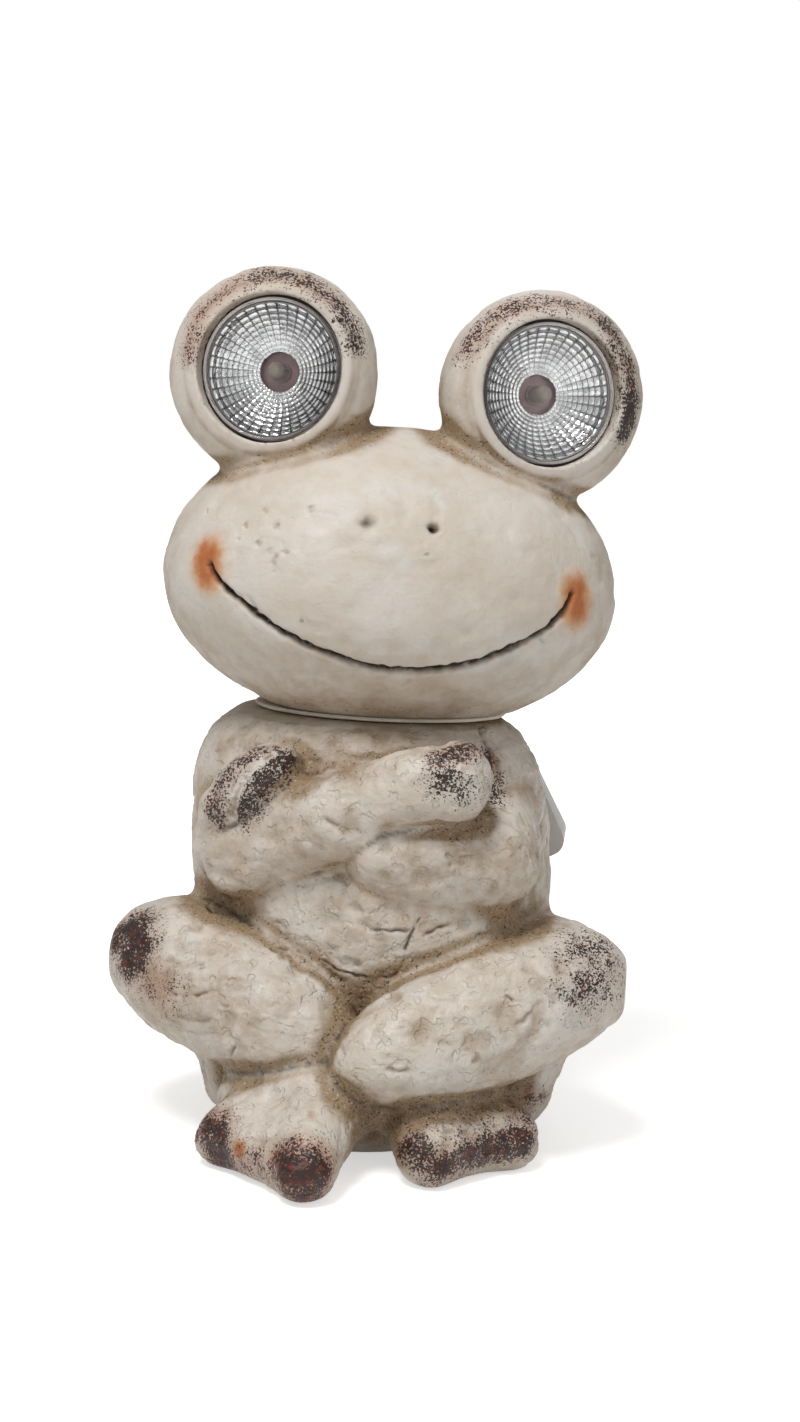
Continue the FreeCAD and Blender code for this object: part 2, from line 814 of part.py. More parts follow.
def solar_housing():
    back = seat_y + module_depth
    outside = module_block(0, rim_y, back, module_corner_radius).cut(behind_slope(0))
    inner_radius = module_corner_radius - module_wall
    inside = module_block(module_wall, rim_y - overrun, inner_back_y, inner_radius)
    inside = inside.cut(behind_slope(module_wall))
    floor = block(
        V(-module_half_width, rim_y - overrun, 0), V(module_half_width, back, module_bottom + bottom_wall)
    )
    inside = inside.cut(floor)
    shell = outside.cut(inside)
    additions = []
    for x, z in screw_places:
        additions.append(rod_back(x, z, rim_y, back, housing_boss_radius))
    boss_low = V(cover_screw_x, cell_y, module_bottom + bottom_wall - module_wall)
    additions.append(rod(boss_low, boss_low + UP * (module_wall + cover_boss_height), cover_boss_radius))
    for x in (hatch_low_x - rib_thickness, hatch_high_x):
        low = V(x, rim_y, module_bottom + bottom_wall - module_wall)
        high = V(x + rib_thickness, cell_y + cell_radius, low.z + module_wall + rib_height)
        additions.append(block(low, high))
    shell = fused([shell] + [piece.common(outside) for piece in additions])
    pocket_width = panel_width + 2 * panel_clearance
    tools = [panel_box(pocket_width, panel_height + 2 * panel_clearance, overrun, panel_pocket_depth)]
    for x in panel_lead_places:
        tools.append(rod_back(x, board_z, rim_y, back, panel_lead_radius + fit_gap))
    for x, z in screw_places:
        tools.append(rod_back(x, z, rim_y - overrun, back, housing_screw_radius + fit_gap))
        tools.append(rod_back(x, z, screw_seat_y, back + overrun, housing_screw_head_radius + fit_gap))
    tools.append(
        block(
            V(-cover_length / 2 - cover_gap, cell_y - cover_half_y - cover_gap, module_bottom - overrun),
            V(cover_length / 2 + cover_gap, cell_y + cover_half_y + cover_gap, pocket_top),
        )
    )
    tools.append(
        block(
            V(hatch_low_x, cell_y - hatch_half_y, module_bottom),
            V(hatch_high_x, cell_y + hatch_half_y, module_bottom + bottom_wall + overrun),
        )
    )
    boss_foot = V(cover_screw_x, cell_y, module_bottom)
    boss_bore_top = boss_foot + UP * (bottom_wall + cover_boss_height / 2)
    tools.append(rod(boss_foot, boss_bore_top, cover_screw_radius + fit_gap))
    slot_low = V(-slot_half, inner_back_y - overrun, slot_bottom)
    slot_high = V(slot_half, back + overrun, slot_top)
    tools.append(block(slot_low, slot_high))
    return cut_all(shell, tools)


def housing_base():
    plate = module_block(0, plate_y, rim_y, module_corner_radius)
    posts = [rod_back(x, board_z, plate_y, board_y, board_post_radius) for x in board_screw_places]
    tools = [rod_back(0, cable_z, plate_y - overrun, rim_y + overrun, grommet_radius)]
    for x, z in screw_places:
        tools.append(rod_back(x, z, plate_y - overrun, rim_y + overrun, housing_screw_radius + fit_gap))
    pilot_y = board_y - board_screw_grip
    for x in board_screw_places:
        tools.append(rod_back(x, board_z, pilot_y, board_y + overrun, board_screw_radius))
    return cut_all(fused([plate] + posts), tools)


def housing_seal():
    outer = flat_face(module_outline(pad_margin, seat_y)).extrude(BACK * gasket_thickness)
    inner = flat_face(module_outline(pad_margin + gasket_width, seat_y)).extrude(BACK * gasket_thickness)
    return outer.cut(inner)


def solar_panel():
    return panel_box(panel_width, panel_height, panel_thickness - panel_pocket_depth, panel_pocket_depth)


def panel_leads():
    """Short leads from the board to the panel's underside, which trims them."""
    leads = []
    for x in panel_lead_places:
        foot_point = V(x, board_y + board_thickness, board_z)
        in_panel = V(x, slope_y(board_z) - panel_pocket_depth / 2, board_z)
        leads.append(rod(foot_point, in_panel, panel_lead_radius).cut(solar_panel()))
    return leads


def screw(seat, axis, length, radius, head_radius, head_height):
    """Plain screw: its seat is the underside of the head, and its shank runs along the axis."""
    shank = rod(seat, seat + axis * length, radius)
    return shank.fuse(rod(seat, seat - axis * head_height, head_radius)).removeSplitter()


def housing_screws():
    shank = (housing_screw_length, housing_screw_radius)
    head = (housing_screw_head_radius, housing_screw_head_height)
    return [screw(V(x, screw_seat_y, z), -BACK, *shank, *head) for x, z in screw_places]


def wall_plugs():
    plugs = []
    for x, z in screw_places:
        plug = rod_back(x, z, seat_y - wall_plug_length, seat_y, wall_plug_radius)
        plugs.append(plug.cut(rod_back(x, z, seat_y - plug_screw_depth, seat_y, housing_screw_radius)))
    return plugs


def circuit_board():
    half_x, half_z = board_width / 2, board_height / 2
    top_y = board_y + board_thickness
    board = block(V(-half_x, board_y, board_z - half_z), V(half_x, top_y, board_z + half_z))
    return board.cut([rod_back(x, board_z, board_y, top_y, board_screw_radius) for x in board_screw_places])


def board_screws():
    shank = (board_thickness + board_screw_grip, board_screw_radius)
    head = (board_screw_head_radius, board_screw_head_height)
    top_y = board_y + board_thickness
    return [screw(V(x, top_y, board_z), -BACK, *shank, *head) for x in board_screw_places]


def boost_coil():
    z = board_z - board_height / 2 + coil_radius + fit_gap
    foot_point = V(board_width * coil_place_share, board_y + board_thickness, z)
    return rod(foot_point, foot_point + BACK * coil_height, coil_radius)


def controller_chip():
    middle_z = board_z - board_height / 4
    low = V(board_width * chip_place_share, board_y + board_thickness, middle_z - chip_height / 2)
    return block(low, low + V(chip_width, chip_thickness, chip_height))


def battery_cell():
    body = rod(V(cell_start, cell_y, cell_z), V(cell_end, cell_y, cell_z), cell_radius, cell_sides)
    tip = V(cell_end + cell_button_length, cell_y, cell_z)
    button = rod(V(cell_end, cell_y, cell_z), tip, cell_button_radius)
    return body.fuse(button).removeSplitter()


def contact_plate(x):
    low = V(x, cell_y - contact_width / 2, cell_z - contact_height / 2)
    return block(low, low + V(contact_thickness, contact_width, contact_height))


def battery_plate_contact():
    return contact_plate(hatch_high_x - contact_thickness)


def battery_spring_contact():
    """Contact plate with a leaf bent out of it, whose crest presses on the cell's flat end."""
    base = hatch_low_x + contact_thickness
    low, high = cell_z - contact_height / 2, cell_z + contact_height / 2
    leaf_points = [
        (base, low), (cell_start, cell_z - contact_thickness), (cell_start, cell_z + contact_thickness),
        (base, high), (base, high - contact_thickness * 2), (cell_start - contact_thickness, cell_z),
        (base, low + contact_thickness * 2),
    ]
    leaf = flat_face([V(x, cell_y - contact_width / 4, z) for x, z in leaf_points])
    return fused([contact_plate(hatch_low_x), leaf.extrude(BACK * (contact_width / 2))])


def cable_grommet():
    """Bush in the base plate's cable hole, with one flange and a bore for each lead."""
    flange_y = rim_y + grommet_flange_thickness
    bush = rod_back(0, cable_z, plate_y, flange_y, grommet_radius)
    flange = rod_back(0, cable_z, rim_y, flange_y, grommet_flange_radius)
    bore = (plate_y - overrun, board_y, lead_radius + lead_bore_gap)
    bores = [rod_back(side * lead_spacing / 2, cable_z, *bore) for side in (-1, 1)]
    return cut_all(fused([bush, flange]), bores)


def battery_cover():
    low = V(-cover_length / 2, cell_y - cover_half_y, module_bottom)
    high = V(cover_length / 2, cell_y + cover_half_y, module_bottom + cover_thickness)
    foot_point = V(cover_screw_x, cell_y, module_bottom)
    below = foot_point - UP * overrun
    head_hole = rod(below, foot_point + UP * cover_screw_head_height, cover_screw_head_radius)
    shank_hole = rod(below, foot_point + UP * (cover_thickness + overrun), cover_screw_radius)
    return cut_all(block(low, high), [head_hole, shank_hole])


def battery_cover_screw():
    seat = V(cover_screw_x, cell_y, module_bottom + cover_screw_head_height)
    shank = (cover_screw_length, cover_screw_radius)
    return screw(seat, UP, *shank, cover_screw_head_radius, cover_screw_head_height)


def battery_cover_seal():
    """Gasket on the cover's inside, round the hatch."""
    low_z = module_bottom + cover_thickness
    high_z = low_z + cover_seal_thickness
    edge = cover_half_y - cover_seat_gap
    inner = edge - cover_seal_width
    low_x, high_x = hatch_low_x - cover_seat_gap, hatch_high_x + cover_seat_gap
    low = V(low_x - cover_seal_width, cell_y - edge, low_z)
    outside = block(low, V(high_x + cover_seal_width, cell_y + edge, high_z))
    return outside.cut(block(V(low_x, cell_y - inner, low_z), V(high_x, cell_y + inner, high_z)))


def switch_body():
    low = V(-switch_width / 2, inner_back_y - switch_depth, switch_z - switch_height / 2)
    high = V(switch_width / 2, inner_back_y, switch_z + switch_height / 2)
    slot_low = V(-slot_half, inner_back_y - slider_root - slider_gap, slot_bottom)
    slot_high = V(slot_half, inner_back_y + overrun, slot_top)
    return block(low, high).cut(block(slot_low, slot_high))


def switch_slider():
    """Slider at the off end of its slot, on the frog's right."""
    x = -(slider_width + switch_travel) / 2
    low = V(x, inner_back_y - slider_root, switch_z - slider_height / 2)
    high = V(x + slider_width, seat_y + module_depth + slider_proud, switch_z + slider_height / 2)
    return block(low, high)


pieces = {
    "body_casting": body_casting,
    "head_casting": head_casting,
    "neck_mortar": neck_mortar,
    "solar_housing": solar_housing,
    "housing_base": housing_base,
    "housing_seal": housing_seal,
    "solar_panel": solar_panel,
    "panel_leads": panel_leads,
    "housing_screws": housing_screws,
    "wall_plugs": wall_plugs,
    "circuit_board": circuit_board,
    "board_screws": board_screws,
    "boost_coil": boost_coil,
    "controller_chip": controller_chip,
    "battery_cell": battery_cell,
    "battery_plate_contact": battery_plate_contact,
    "battery_spring_contact": battery_spring_contact,
    "cable_grommet": cable_grommet,
    "battery_cover": battery_cover,
    "battery_cover_screw": battery_cover_screw,
    "battery_cover_seal": battery_cover_seal,
    "switch_body": switch_body,
    "switch_slider": switch_slider,
}
eye_pieces = {
    "eye_lens": eye_lens,
    "eye_reflector": eye_reflector,
    "eye_cup": eye_cup,
    "eye_led": eye_led,
    "eye_seal": eye_seal,
    "eye_lead": eye_lead,
}


def write_piece(name, shape):
    solid_group = Part.Compound(shape) if isinstance(shape, list) else shape
    solid_group.exportStep("parts/" + name + ".step")


os.makedirs("parts", exist_ok=True)
for name, make in pieces.items():
    write_piece(name, make())
for name, make in eye_pieces.items():
    write_piece(name + "_right", make(-1))
    write_piece(name + "_left", make(1))
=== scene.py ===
import json
import math
from contextlib import contextmanager
from functools import reduce

import bmesh
import bpy
import numpy as np
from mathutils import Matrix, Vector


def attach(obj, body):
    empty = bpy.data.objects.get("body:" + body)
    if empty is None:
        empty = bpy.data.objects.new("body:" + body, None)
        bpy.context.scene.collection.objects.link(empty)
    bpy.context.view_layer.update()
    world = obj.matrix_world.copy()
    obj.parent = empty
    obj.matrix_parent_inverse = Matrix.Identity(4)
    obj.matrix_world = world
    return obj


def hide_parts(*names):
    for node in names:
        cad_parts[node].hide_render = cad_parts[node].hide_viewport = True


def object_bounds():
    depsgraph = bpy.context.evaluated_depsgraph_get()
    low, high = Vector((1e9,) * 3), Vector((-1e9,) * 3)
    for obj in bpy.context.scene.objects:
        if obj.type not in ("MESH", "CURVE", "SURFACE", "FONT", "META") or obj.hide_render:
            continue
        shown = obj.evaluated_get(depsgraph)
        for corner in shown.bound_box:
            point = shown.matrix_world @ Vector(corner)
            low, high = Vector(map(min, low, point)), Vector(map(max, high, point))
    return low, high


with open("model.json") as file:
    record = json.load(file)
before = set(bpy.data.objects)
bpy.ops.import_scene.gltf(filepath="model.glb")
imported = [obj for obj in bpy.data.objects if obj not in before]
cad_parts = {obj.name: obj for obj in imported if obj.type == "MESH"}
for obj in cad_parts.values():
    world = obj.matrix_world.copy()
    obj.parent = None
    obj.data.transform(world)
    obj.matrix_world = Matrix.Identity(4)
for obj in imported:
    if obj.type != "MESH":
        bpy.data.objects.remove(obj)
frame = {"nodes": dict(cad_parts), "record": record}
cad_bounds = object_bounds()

import openvdb
from mathutils import Matrix, Vector
from mathutils.bvhtree import BVHTree

# Lengths below are in millimetres, front at -Y, up +Z. Meshes are written in metres.
MM = 0.001
BODY = "figure"
PHOTO_SIZE = (800, 1422)
PHOTO_MM_PER_PIXEL = 0.30

# Camera and floor
FLOOR_REACH = 3000
CAMERA_TARGET = Vector((6.0, 0.0, 122.5))
CAMERA_DISTANCE = 650.0
CAMERA_AZIMUTH = math.radians(6.0)
CAMERA_ELEVATION = math.radians(8.0)
CAMERA_ROLL = math.radians(2.5)
SENSOR = 36.0

# Figure masses, the same as in the construction
TORSO_HALF_WIDTH, TORSO_HALF_DEPTH, TORSO_HEIGHT = 55.0, 45.0, 123.0
# Torso rows: height, width and lean to the side
TORSO_PROFILE = [
    (0.0, 0.80, 0.0), (0.08, 0.89, 0.0), (0.22, 0.98, 0.0), (0.42, 1.0, 0.0), (0.72, 0.99, -0.03),
    (0.81, 0.97, -0.045), (0.88, 0.92, -0.05), (0.94, 0.86, -0.055), (1.0, 0.74, -0.06),
]
BELLY_PLACE, BELLY_HALF = (0.11, 0.32, 0.52), (44.0, 36.8, 34.0)
HEAD_CENTRE = np.array((1.5, -2.0, 160.2))
HEAD_HALF, HEAD_DROP, HEAD_BOTTOM = (67.2, 51.0, 47.0), 42.5, 124.2
HEAD_LEAN, HEAD_TILT = math.radians(9.5), math.radians(2.5)
TURRET_PLACE, TURRET_RADIUS, TURRET_FRONT, TURRET_BACK = (39.0, -7.0, 59.2), 30.6, 17.0, 25.0
TURRET_ROUNDNESS, TURRET_BLEND = 2.5, 5.0
EYE_PLACE_X, EYE_STAND = 36.6, 12.0
EYE_SPREAD, EYE_RISE = math.radians(16.5), math.radians(4.0)
SOCKET_RADIUS, SOCKET_DEPTH, SOCKET_MOUTH, SOCKET_STEP = 21.9, 17.0, 21.1, 2.3
LIP_RADIUS, LIP_TUBE, LIP_STAND, LIP_RIM = 22.7, 1.2, 0.1, 25.2
VOXEL = 0.8
# Darkness of a nick's filling of dirt and painted shade, per mm of depth, and how ragged grooves run
NICK_DIRT_AND_SHADE, GROOVE_RAGGED = 0.25, 0.35
# Sides of the construction's box across and along: axis, place and outward sign, and room kept inside
FRAME_SIDES = [(k, cad_bounds[end][k] / MM, sign) for k in range(2) for end, sign in ((0, -1), (1, 1))]
FRAME_ROOM = 0.8


# Vectors and noise

def length(vectors):
    return np.sqrt(np.einsum("ij,ij->i", vectors, vectors))


def smooth_min(first, second, blend):
    share = np.maximum(blend - np.abs(first - second), 0) / blend
    return np.minimum(first, second) - share * share * blend / 4


def smooth_max(first, second, blend):
    return -smooth_min(-first, -second, blend)


def smooth_union(values, blend):
    return reduce(lambda first, second: smooth_min(first, second, blend), values)


def soft_step(value, low, high):
    share = np.clip((value - low) / (high - low), 0, 1)
    return share * share * (3 - 2 * share)


def noise(points, cell, seed):
    """Smooth noise between -1 and 1, with cells of the given size."""
    table = np.random.default_rng(seed).uniform(-1, 1, (32, 32, 32)).astype(np.float32)
    scaled = points / cell
    base = np.floor(scaled).astype(np.int32)
    share = (scaled - base).astype(np.float32)
    share = share * share * (3 - 2 * share)
    total = 0
    for corner in range(8):
        step = ((corner >> 2) & 1, (corner >> 1) & 1, corner & 1)
        weight = 1
        for k in range(3):
            weight = weight * (share[:, k] if step[k] else 1 - share[:, k])
        where = [(base[:, k] + step[k]) % 32 for k in range(3)]
        total = total + weight * table[where[0], where[1], where[2]]
    return total


# Distance fields of the masses

def ellipsoid_field(local, half):
    half = np.array(half, dtype=np.float32)
    unit = local / half
    reach = length(unit)
    return reach * (reach - 1) / np.maximum(length(unit / half), 1e-6)


def egg_field(points, start, end, radii):
    """Egg round the line from start to end, with its radii near each end and at the middle."""
    start, end = np.array(start), np.array(end)
    low, middle, high = radii
    along = end - start
    span = np.linalg.norm(along)
    along = along / span
    whole = span + low + high
    rel = points - start
    station = rel @ along
    off = np.maximum(np.einsum("ij,ij->i", rel, rel) - station ** 2, 0)
    share = (station + low) / whole
    inside = np.clip(share, 0, 1)
    bulge = middle - (low + high) / 2
    radius = low + (high - low) * inside + 4 * inside * (1 - inside) * bulge
    slope = ((high - low) + 4 * (1 - 2 * inside) * bulge) / whole
    power = max(2.0, whole / middle)
    side = 2 * share - 1
    reach = np.abs(side)
    value = off / radius ** 2 + reach ** power
    grad_along = power * reach ** (power - 1) * np.sign(side) * 2 / whole - 2 * off / radius ** 3 * slope
    grad_off = 2 * np.sqrt(off) / radius ** 2
    root = np.sqrt(value)
    return 2 * root * (root - 1) / np.maximum(np.hypot(grad_along, grad_off), 1e-6)


def body_point(across, ahead, up):
    """Point from shares of the torso's half width, half depth and height."""
    return np.array((across * TORSO_HALF_WIDTH, -ahead * TORSO_HALF_DEPTH, up * TORSO_HEIGHT))


def limb(shares, radii, fullness=(1.0,)):
    """Eggs from joint to joint, with the fullness of each."""
    points = [body_point(*place) for place in shares]
    rows = []
    for i in range(len(points) - 1):
        middle = fullness[i] * (radii[i] + radii[i + 1]) / 2
        rows.append((points[i], points[i + 1], (radii[i], middle, radii[i + 1])))
    return rows


def foot(shares, heel_radius):
    """Eggs from the ankle to heel and both toes, and across the ball."""
    ankle, heel, outer, inner = [body_point(*place) for place in shares]
    ankle_radius, instep, toe, ball = 14.5, 12.3, 8.2, 8.5
    rows = [(ankle, heel, (ankle_radius, (ankle_radius + heel_radius) / 2, heel_radius))]
    for tip in (outer, inner):
        rows.append((ankle, tip, (ankle_radius, instep, toe)))
    for share in (0.08, 0.4):
        rows.append((outer + (ankle - outer) * share, inner + (ankle - inner) * share, (ball,) * 3))
    return rows


RIGHT_ARM = limb(
    [(-0.71, 0.04, 0.815), (-0.61, 0.69, 0.69), (-0.09, 1.0, 0.80), (0.28, 1.07, 0.88), (0.48, 1.05, 0.895)],
    (18, 15, 12, 9.6, 9.8), (0.9, 1.06, 1.05, 1.03))
RIGHT_ARM += limb([(0.515, 1.03, 0.915), (0.52, 1.03, 0.874)], (8.2, 8.2))
LEFT_ARM = limb([(0.60, 0.04, 0.82), (0.65, 0.70, 0.69), (0.16, 0.97, 0.715)], (18, 15, 12), (0.9, 1.12))
LEFT_HAND = limb([(-0.74, 0.84, 0.775), (-0.43, 0.92, 0.905)], (6.6, 6.6), (1.43,))
RIGHT_LEG = limb([(-0.69, 0.04, 0.33), (-1.06, 0.60, 0.40), (-0.14, 1.15, 0.29)], (24, 15.5, 12),
                 (1.09, 1.53))
LEFT_LEG = limb([(0.69, 0.04, 0.35), (1.145, 0.58, 0.405), (0.16, 1.36, 0.265)], (24, 15.5, 12),
                (1.08, 1.45))
RIGHT_LEG += limb([(-0.69, 0.50, 0.22), (-0.62, 0.55, 0.10)], (13.2, 11))
LEFT_LEG += limb([(0.905, 0.45, 0.23), (0.825, 0.36, 0.10)], (13.2, 11))
RIGHT_FOOT = foot(
    [(-0.10, 1.20, 0.15), (-0.45, 1.02, 0.125), (-0.59, 1.38, 0.062), (-0.11, 1.90, 0.062)], 13)
LEFT_FOOT = foot([(0.40, 0.90, 0.15), (0.86, 0.20, 0.09), (0.49, 1.47, 0.062), (0.87, 1.04, 0.062)], 11)
# Bridge between the feet, and the low web that closes the gap under it
LEFT_FOOT += limb([(-0.10, 1.20, 0.155), (0.40, 1.0, 0.155)], (10, 10))
LEFT_FOOT += limb([(-0.02, 1.0, 0.06), (0.24, 0.92, 0.06)], (7.2, 7.2))

# Seat for the module at the back: outline at the torso's far side, and how deep it runs in
PAD_OUTLINE = [(-34.5, 105.0), (34.5, 105.0), (49.6, 76.0), (30.0, 69.0), (-30.0, 69.0), (-49.6, 76.0)]
PAD_BACK, PAD_ROOT, PAD_TAPER, PAD_FRONT, PAD_MIDDLE = 46.0, 26.0, 0.9, 20.0, 87.0

# How softly masses run together, and how round their edges are
BELLY_BLEND, MASS_BLEND, PAD_BLEND, LIP_BLEND, SOCKET_BLEND = 8.0, 3.2, 1.5, 1.6, 0.5
TORSO_EDGE, BODY_EDGE, HEAD_EDGE, PAD_SIDE_EDGE, PAD_BACK_EDGE = 6.0, 1.5, 1.2, 2.0, 0.8


def torso_field(points):
    heights, widths, leans = np.array(TORSO_PROFILE).T
    heights = heights * TORSO_HEIGHT
    width = np.interp(points[:, 2], heights, widths).astype(np.float32)
    lean = np.interp(points[:, 2], heights, leans * TORSO_HALF_WIDTH).astype(np.float32)
    half_x, half_y = TORSO_HALF_WIDTH * width, TORSO_HALF_DEPTH * width
    unit_x, unit_y = (points[:, 0] - lean) / half_x, points[:, 1] / half_y
    reach = np.hypot(unit_x, unit_y)
    side = reach * (reach - 1) / np.maximum(np.hypot(unit_x / half_x, unit_y / half_y), 1e-6)
    return smooth_max(side, points[:, 2] - TORSO_HEIGHT, TORSO_EDGE)


def pad_field(points):
    """Flat-backed seat with sides that taper towards the torso."""
    share = np.clip((PAD_BACK - points[:, 1]) / PAD_ROOT, 0, 1)
    scale = 1 - (1 - PAD_TAPER) * share
    x, z = points[:, 0] / scale, PAD_MIDDLE + (points[:, 2] - PAD_MIDDLE) / scale
    value = np.full(len(points), -1e3, dtype=np.float32)
    for i, (start_x, start_z) in enumerate(PAD_OUTLINE):
        end_x, end_z = PAD_OUTLINE[(i + 1) % len(PAD_OUTLINE)]
        run = math.hypot(end_x - start_x, end_z - start_z)
        out_x, out_z = -(end_z - start_z) / run, (end_x - start_x) / run
        value = smooth_max(value, (x - start_x) * out_x + (z - start_z) * out_z, PAD_SIDE_EDGE)
    value = smooth_max(value, points[:, 1] - PAD_BACK, PAD_BACK_EDGE)
    return np.maximum(value, PAD_FRONT - points[:, 1])


def body_groups(points):
    """Distance to each group of masses."""
    belly = ellipsoid_field(points - body_point(*BELLY_PLACE), BELLY_HALF)
    groups = [smooth_min(torso_field(points), belly, BELLY_BLEND)]
    for rows, blend in (
        (RIGHT_ARM, 5.0), (LEFT_ARM, 5.0), (LEFT_HAND, 5.0), (RIGHT_LEG, 6.0), (LEFT_LEG, 6.0),
        (RIGHT_FOOT, 4.0), (LEFT_FOOT, 4.0),
    ):
        groups.append(smooth_union([egg_field(points, *row) for row in rows], blend))
    return groups


def second_gap(groups):
    """How much farther the second nearest mass is than the nearest."""
    nearest, second = np.sort(np.stack(groups), axis=0)[:2]
    return second - nearest


def body_field(points):
    value = smooth_union(body_groups(points), MASS_BLEND)
    value = smooth_min(value, pad_field(points), PAD_BLEND)
    value = smooth_max(value, -points[:, 2], BODY_EDGE)
    return smooth_max(value, points[:, 2] - TORSO_HEIGHT, BODY_EDGE)


def body_crease(points):
    """How far a point is from where two masses meet, and the painted shadow that the head casts below it."""
    below = np.maximum(head_groups(points)[0] - 1.0, 0)
    # Painted shadow of the head: dark just under it, fading broadly over the chest and shoulders
    head_shadow = np.maximum(np.exp(-below / 3.5) * 0.8, np.exp(-below / 26.0) * 0.42)
    return second_gap(body_groups(points)), head_shadow


HEAD_TURN = np.array(Matrix.Rotation(HEAD_LEAN, 3, "Z")) @ np.array(Matrix.Rotation(HEAD_TILT, 3, "Y"))


def head_point(x, y, z):
    return HEAD_CENTRE + HEAD_TURN @ np.array((x, y, z))


def eye_axis(side):
    flat = math.cos(EYE_RISE)
    across, ahead = side * math.sin(EYE_SPREAD) * flat, -math.cos(EYE_SPREAD) * flat
    return HEAD_TURN @ np.array((across, ahead, math.sin(EYE_RISE)))


def lens_centre(side):
    return head_point(side * EYE_PLACE_X, *TURRET_PLACE[1:]) + eye_axis(side) * EYE_STAND


def along_and_off(points, centre, axis):
    """Place along an axis and distance from it."""
    rel = points - centre
    station = rel @ axis
    off = np.sqrt(np.maximum(np.einsum("ij,ij->i", rel, rel) - station ** 2, 0))
    return station, off


def at_lens(points, side):
    return along_and_off(points, lens_centre(side), eye_axis(side))


def turret_field(points, side):
    centre = head_point(side * TURRET_PLACE[0], *TURRET_PLACE[1:])
    station, off = along_and_off(points, centre, eye_axis(side))
    front = station > 0
    power = np.where(front, TURRET_ROUNDNESS, 2.0)
    depth = np.where(front, TURRET_FRONT, TURRET_BACK)
    across, ahead = off / TURRET_RADIUS, np.abs(station) / depth
    total = np.maximum(across ** power + ahead ** power, 1e-9)
    reach = total ** (1 / power)
    shrink = total ** (1 / power - 1)
    grad = shrink * np.hypot(across ** (power - 1) / TURRET_RADIUS, ahead ** (power - 1) / depth)
    return (reach - 1) / np.maximum(grad, 1e-6)


def head_groups(points):
    local = (points - HEAD_CENTRE) @ HEAD_TURN
    upper = ellipsoid_field(local, HEAD_HALF)
    lower = ellipsoid_field(local, (HEAD_HALF[0], HEAD_HALF[1], HEAD_DROP))
    ball = np.where(local[:, 2] > 0, upper, lower)
    return [ball, turret_field(points, -1), turret_field(points, 1)]


def head_field(points):
    value = smooth_union(head_groups(points), TURRET_BLEND)
    for side in (-1, 1):
        station, off = at_lens(points, side)
        lip = np.hypot(off - LIP_RADIUS, station - LIP_STAND) - LIP_TUBE
        value = smooth_min(value, lip, LIP_BLEND)
        narrow = np.where(station > -SOCKET_STEP, SOCKET_MOUTH, SOCKET_RADIUS)
        hole = smooth_max(off - narrow, -SOCKET_DEPTH - station, SOCKET_BLEND)
        value = smooth_max(value, -hole, SOCKET_BLEND)
    return smooth_max(value, HEAD_BOTTOM - points[:, 2], HEAD_EDGE)


def head_crease(points):
    """The same for the head: painted shade under the chin, darker towards the head's bottom, and a darker
    ring just outside the lamps' lips.
    """
    # Painted shade under the chin, darker towards the head's bottom
    out = (1 - soft_step(points[:, 2], HEAD_BOTTOM + 2, HEAD_BOTTOM + 15)) * 0.6
    for side in (-1, 1):
        station, off = at_lens(points, side)
        # Darker ring just outside each lamp's lip
        out = np.maximum(out, np.exp(-np.abs(off - LIP_RIM) / 1.4) * (station > -4) * 0.5)
    return second_gap(head_groups(points)), out


def hollow(field, points, normals):
    """How closed-in a point lies, from nothing in the open to one in a deep fold."""
    total = 0
    for reach, weight in ((4.0, 0.35), (9.0, 0.35), (18.0, 0.30)):
        total = total + weight * np.clip(1 - field(points + normals * reach) / reach, 0, 1)
    return total


# Skins: field to mesh

def extract(field, low, high):
    """Points and quads of a field's zero surface."""
    counts = [int(math.ceil((high[k] - low[k]) / VOXEL)) + 1 for k in range(3)]
    grid = np.empty(counts, dtype=np.float32)
    ys, zs = [low[k] + VOXEL * np.arange(counts[k], dtype=np.float32) for k in (1, 2)]
    slab_y, slab_z = np.meshgrid(ys, zs, indexing="ij")
    for i in range(counts[0]):
        slab_x = np.full(slab_y.size, low[0] + VOXEL * i, dtype=np.float32)
        points = np.stack([slab_x, slab_y.ravel(), slab_z.ravel()], axis=1)
        grid[i] = field(points).reshape(slab_y.shape)
    vdb = openvdb.FloatGrid(background=10.0)
    vdb.copyFromArray(grid)
    points, quads = vdb.convertToQuads(isovalue=0.0)
    points = points.astype(np.float64) * VOXEL + np.array(low)
    return points, quads.astype(np.int64)


def gradient(field, points, step=0.15):
    out = np.empty_like(points)
    for k in range(3):
        shift = np.zeros(3)
        shift[k] = step
        out[:, k] = field(points + shift) - field(points - shift)
    return out / np.maximum(length(out), 1e-9)[:, None]


def settle(field, points, rounds=2):
    """Moves points on to the zero surface."""
    for _ in range(rounds):
        normal = gradient(field, points)
        points = points - normal * np.clip(field(points), -0.6, 0.6)[:, None]
    return points


def outward(points, quads):
    """Quads that all turn outwards."""
    a, b, c = points[quads[:, 0]], points[quads[:, 1]], points[quads[:, 2]]
    volume = np.einsum("ij,ij->i", a, np.cross(b, c)).sum()
    return quads if volume > 0 else quads[:, ::-1]


# Photograph to surface

def camera_matrix():
    """The photograph's camera, in millimetres."""
    flat = math.cos(CAMERA_ELEVATION)
    right, ahead = math.sin(CAMERA_AZIMUTH) * flat, -math.cos(CAMERA_AZIMUTH) * flat
    out = Vector((right, ahead, math.sin(CAMERA_ELEVATION)))
    place = CAMERA_TARGET + out * CAMERA_DISTANCE
    turn = out.to_track_quat("Z", "Y").to_matrix().to_4x4() @ Matrix.Rotation(CAMERA_ROLL, 4, "Z")
    return Matrix.Translation(place) @ turn


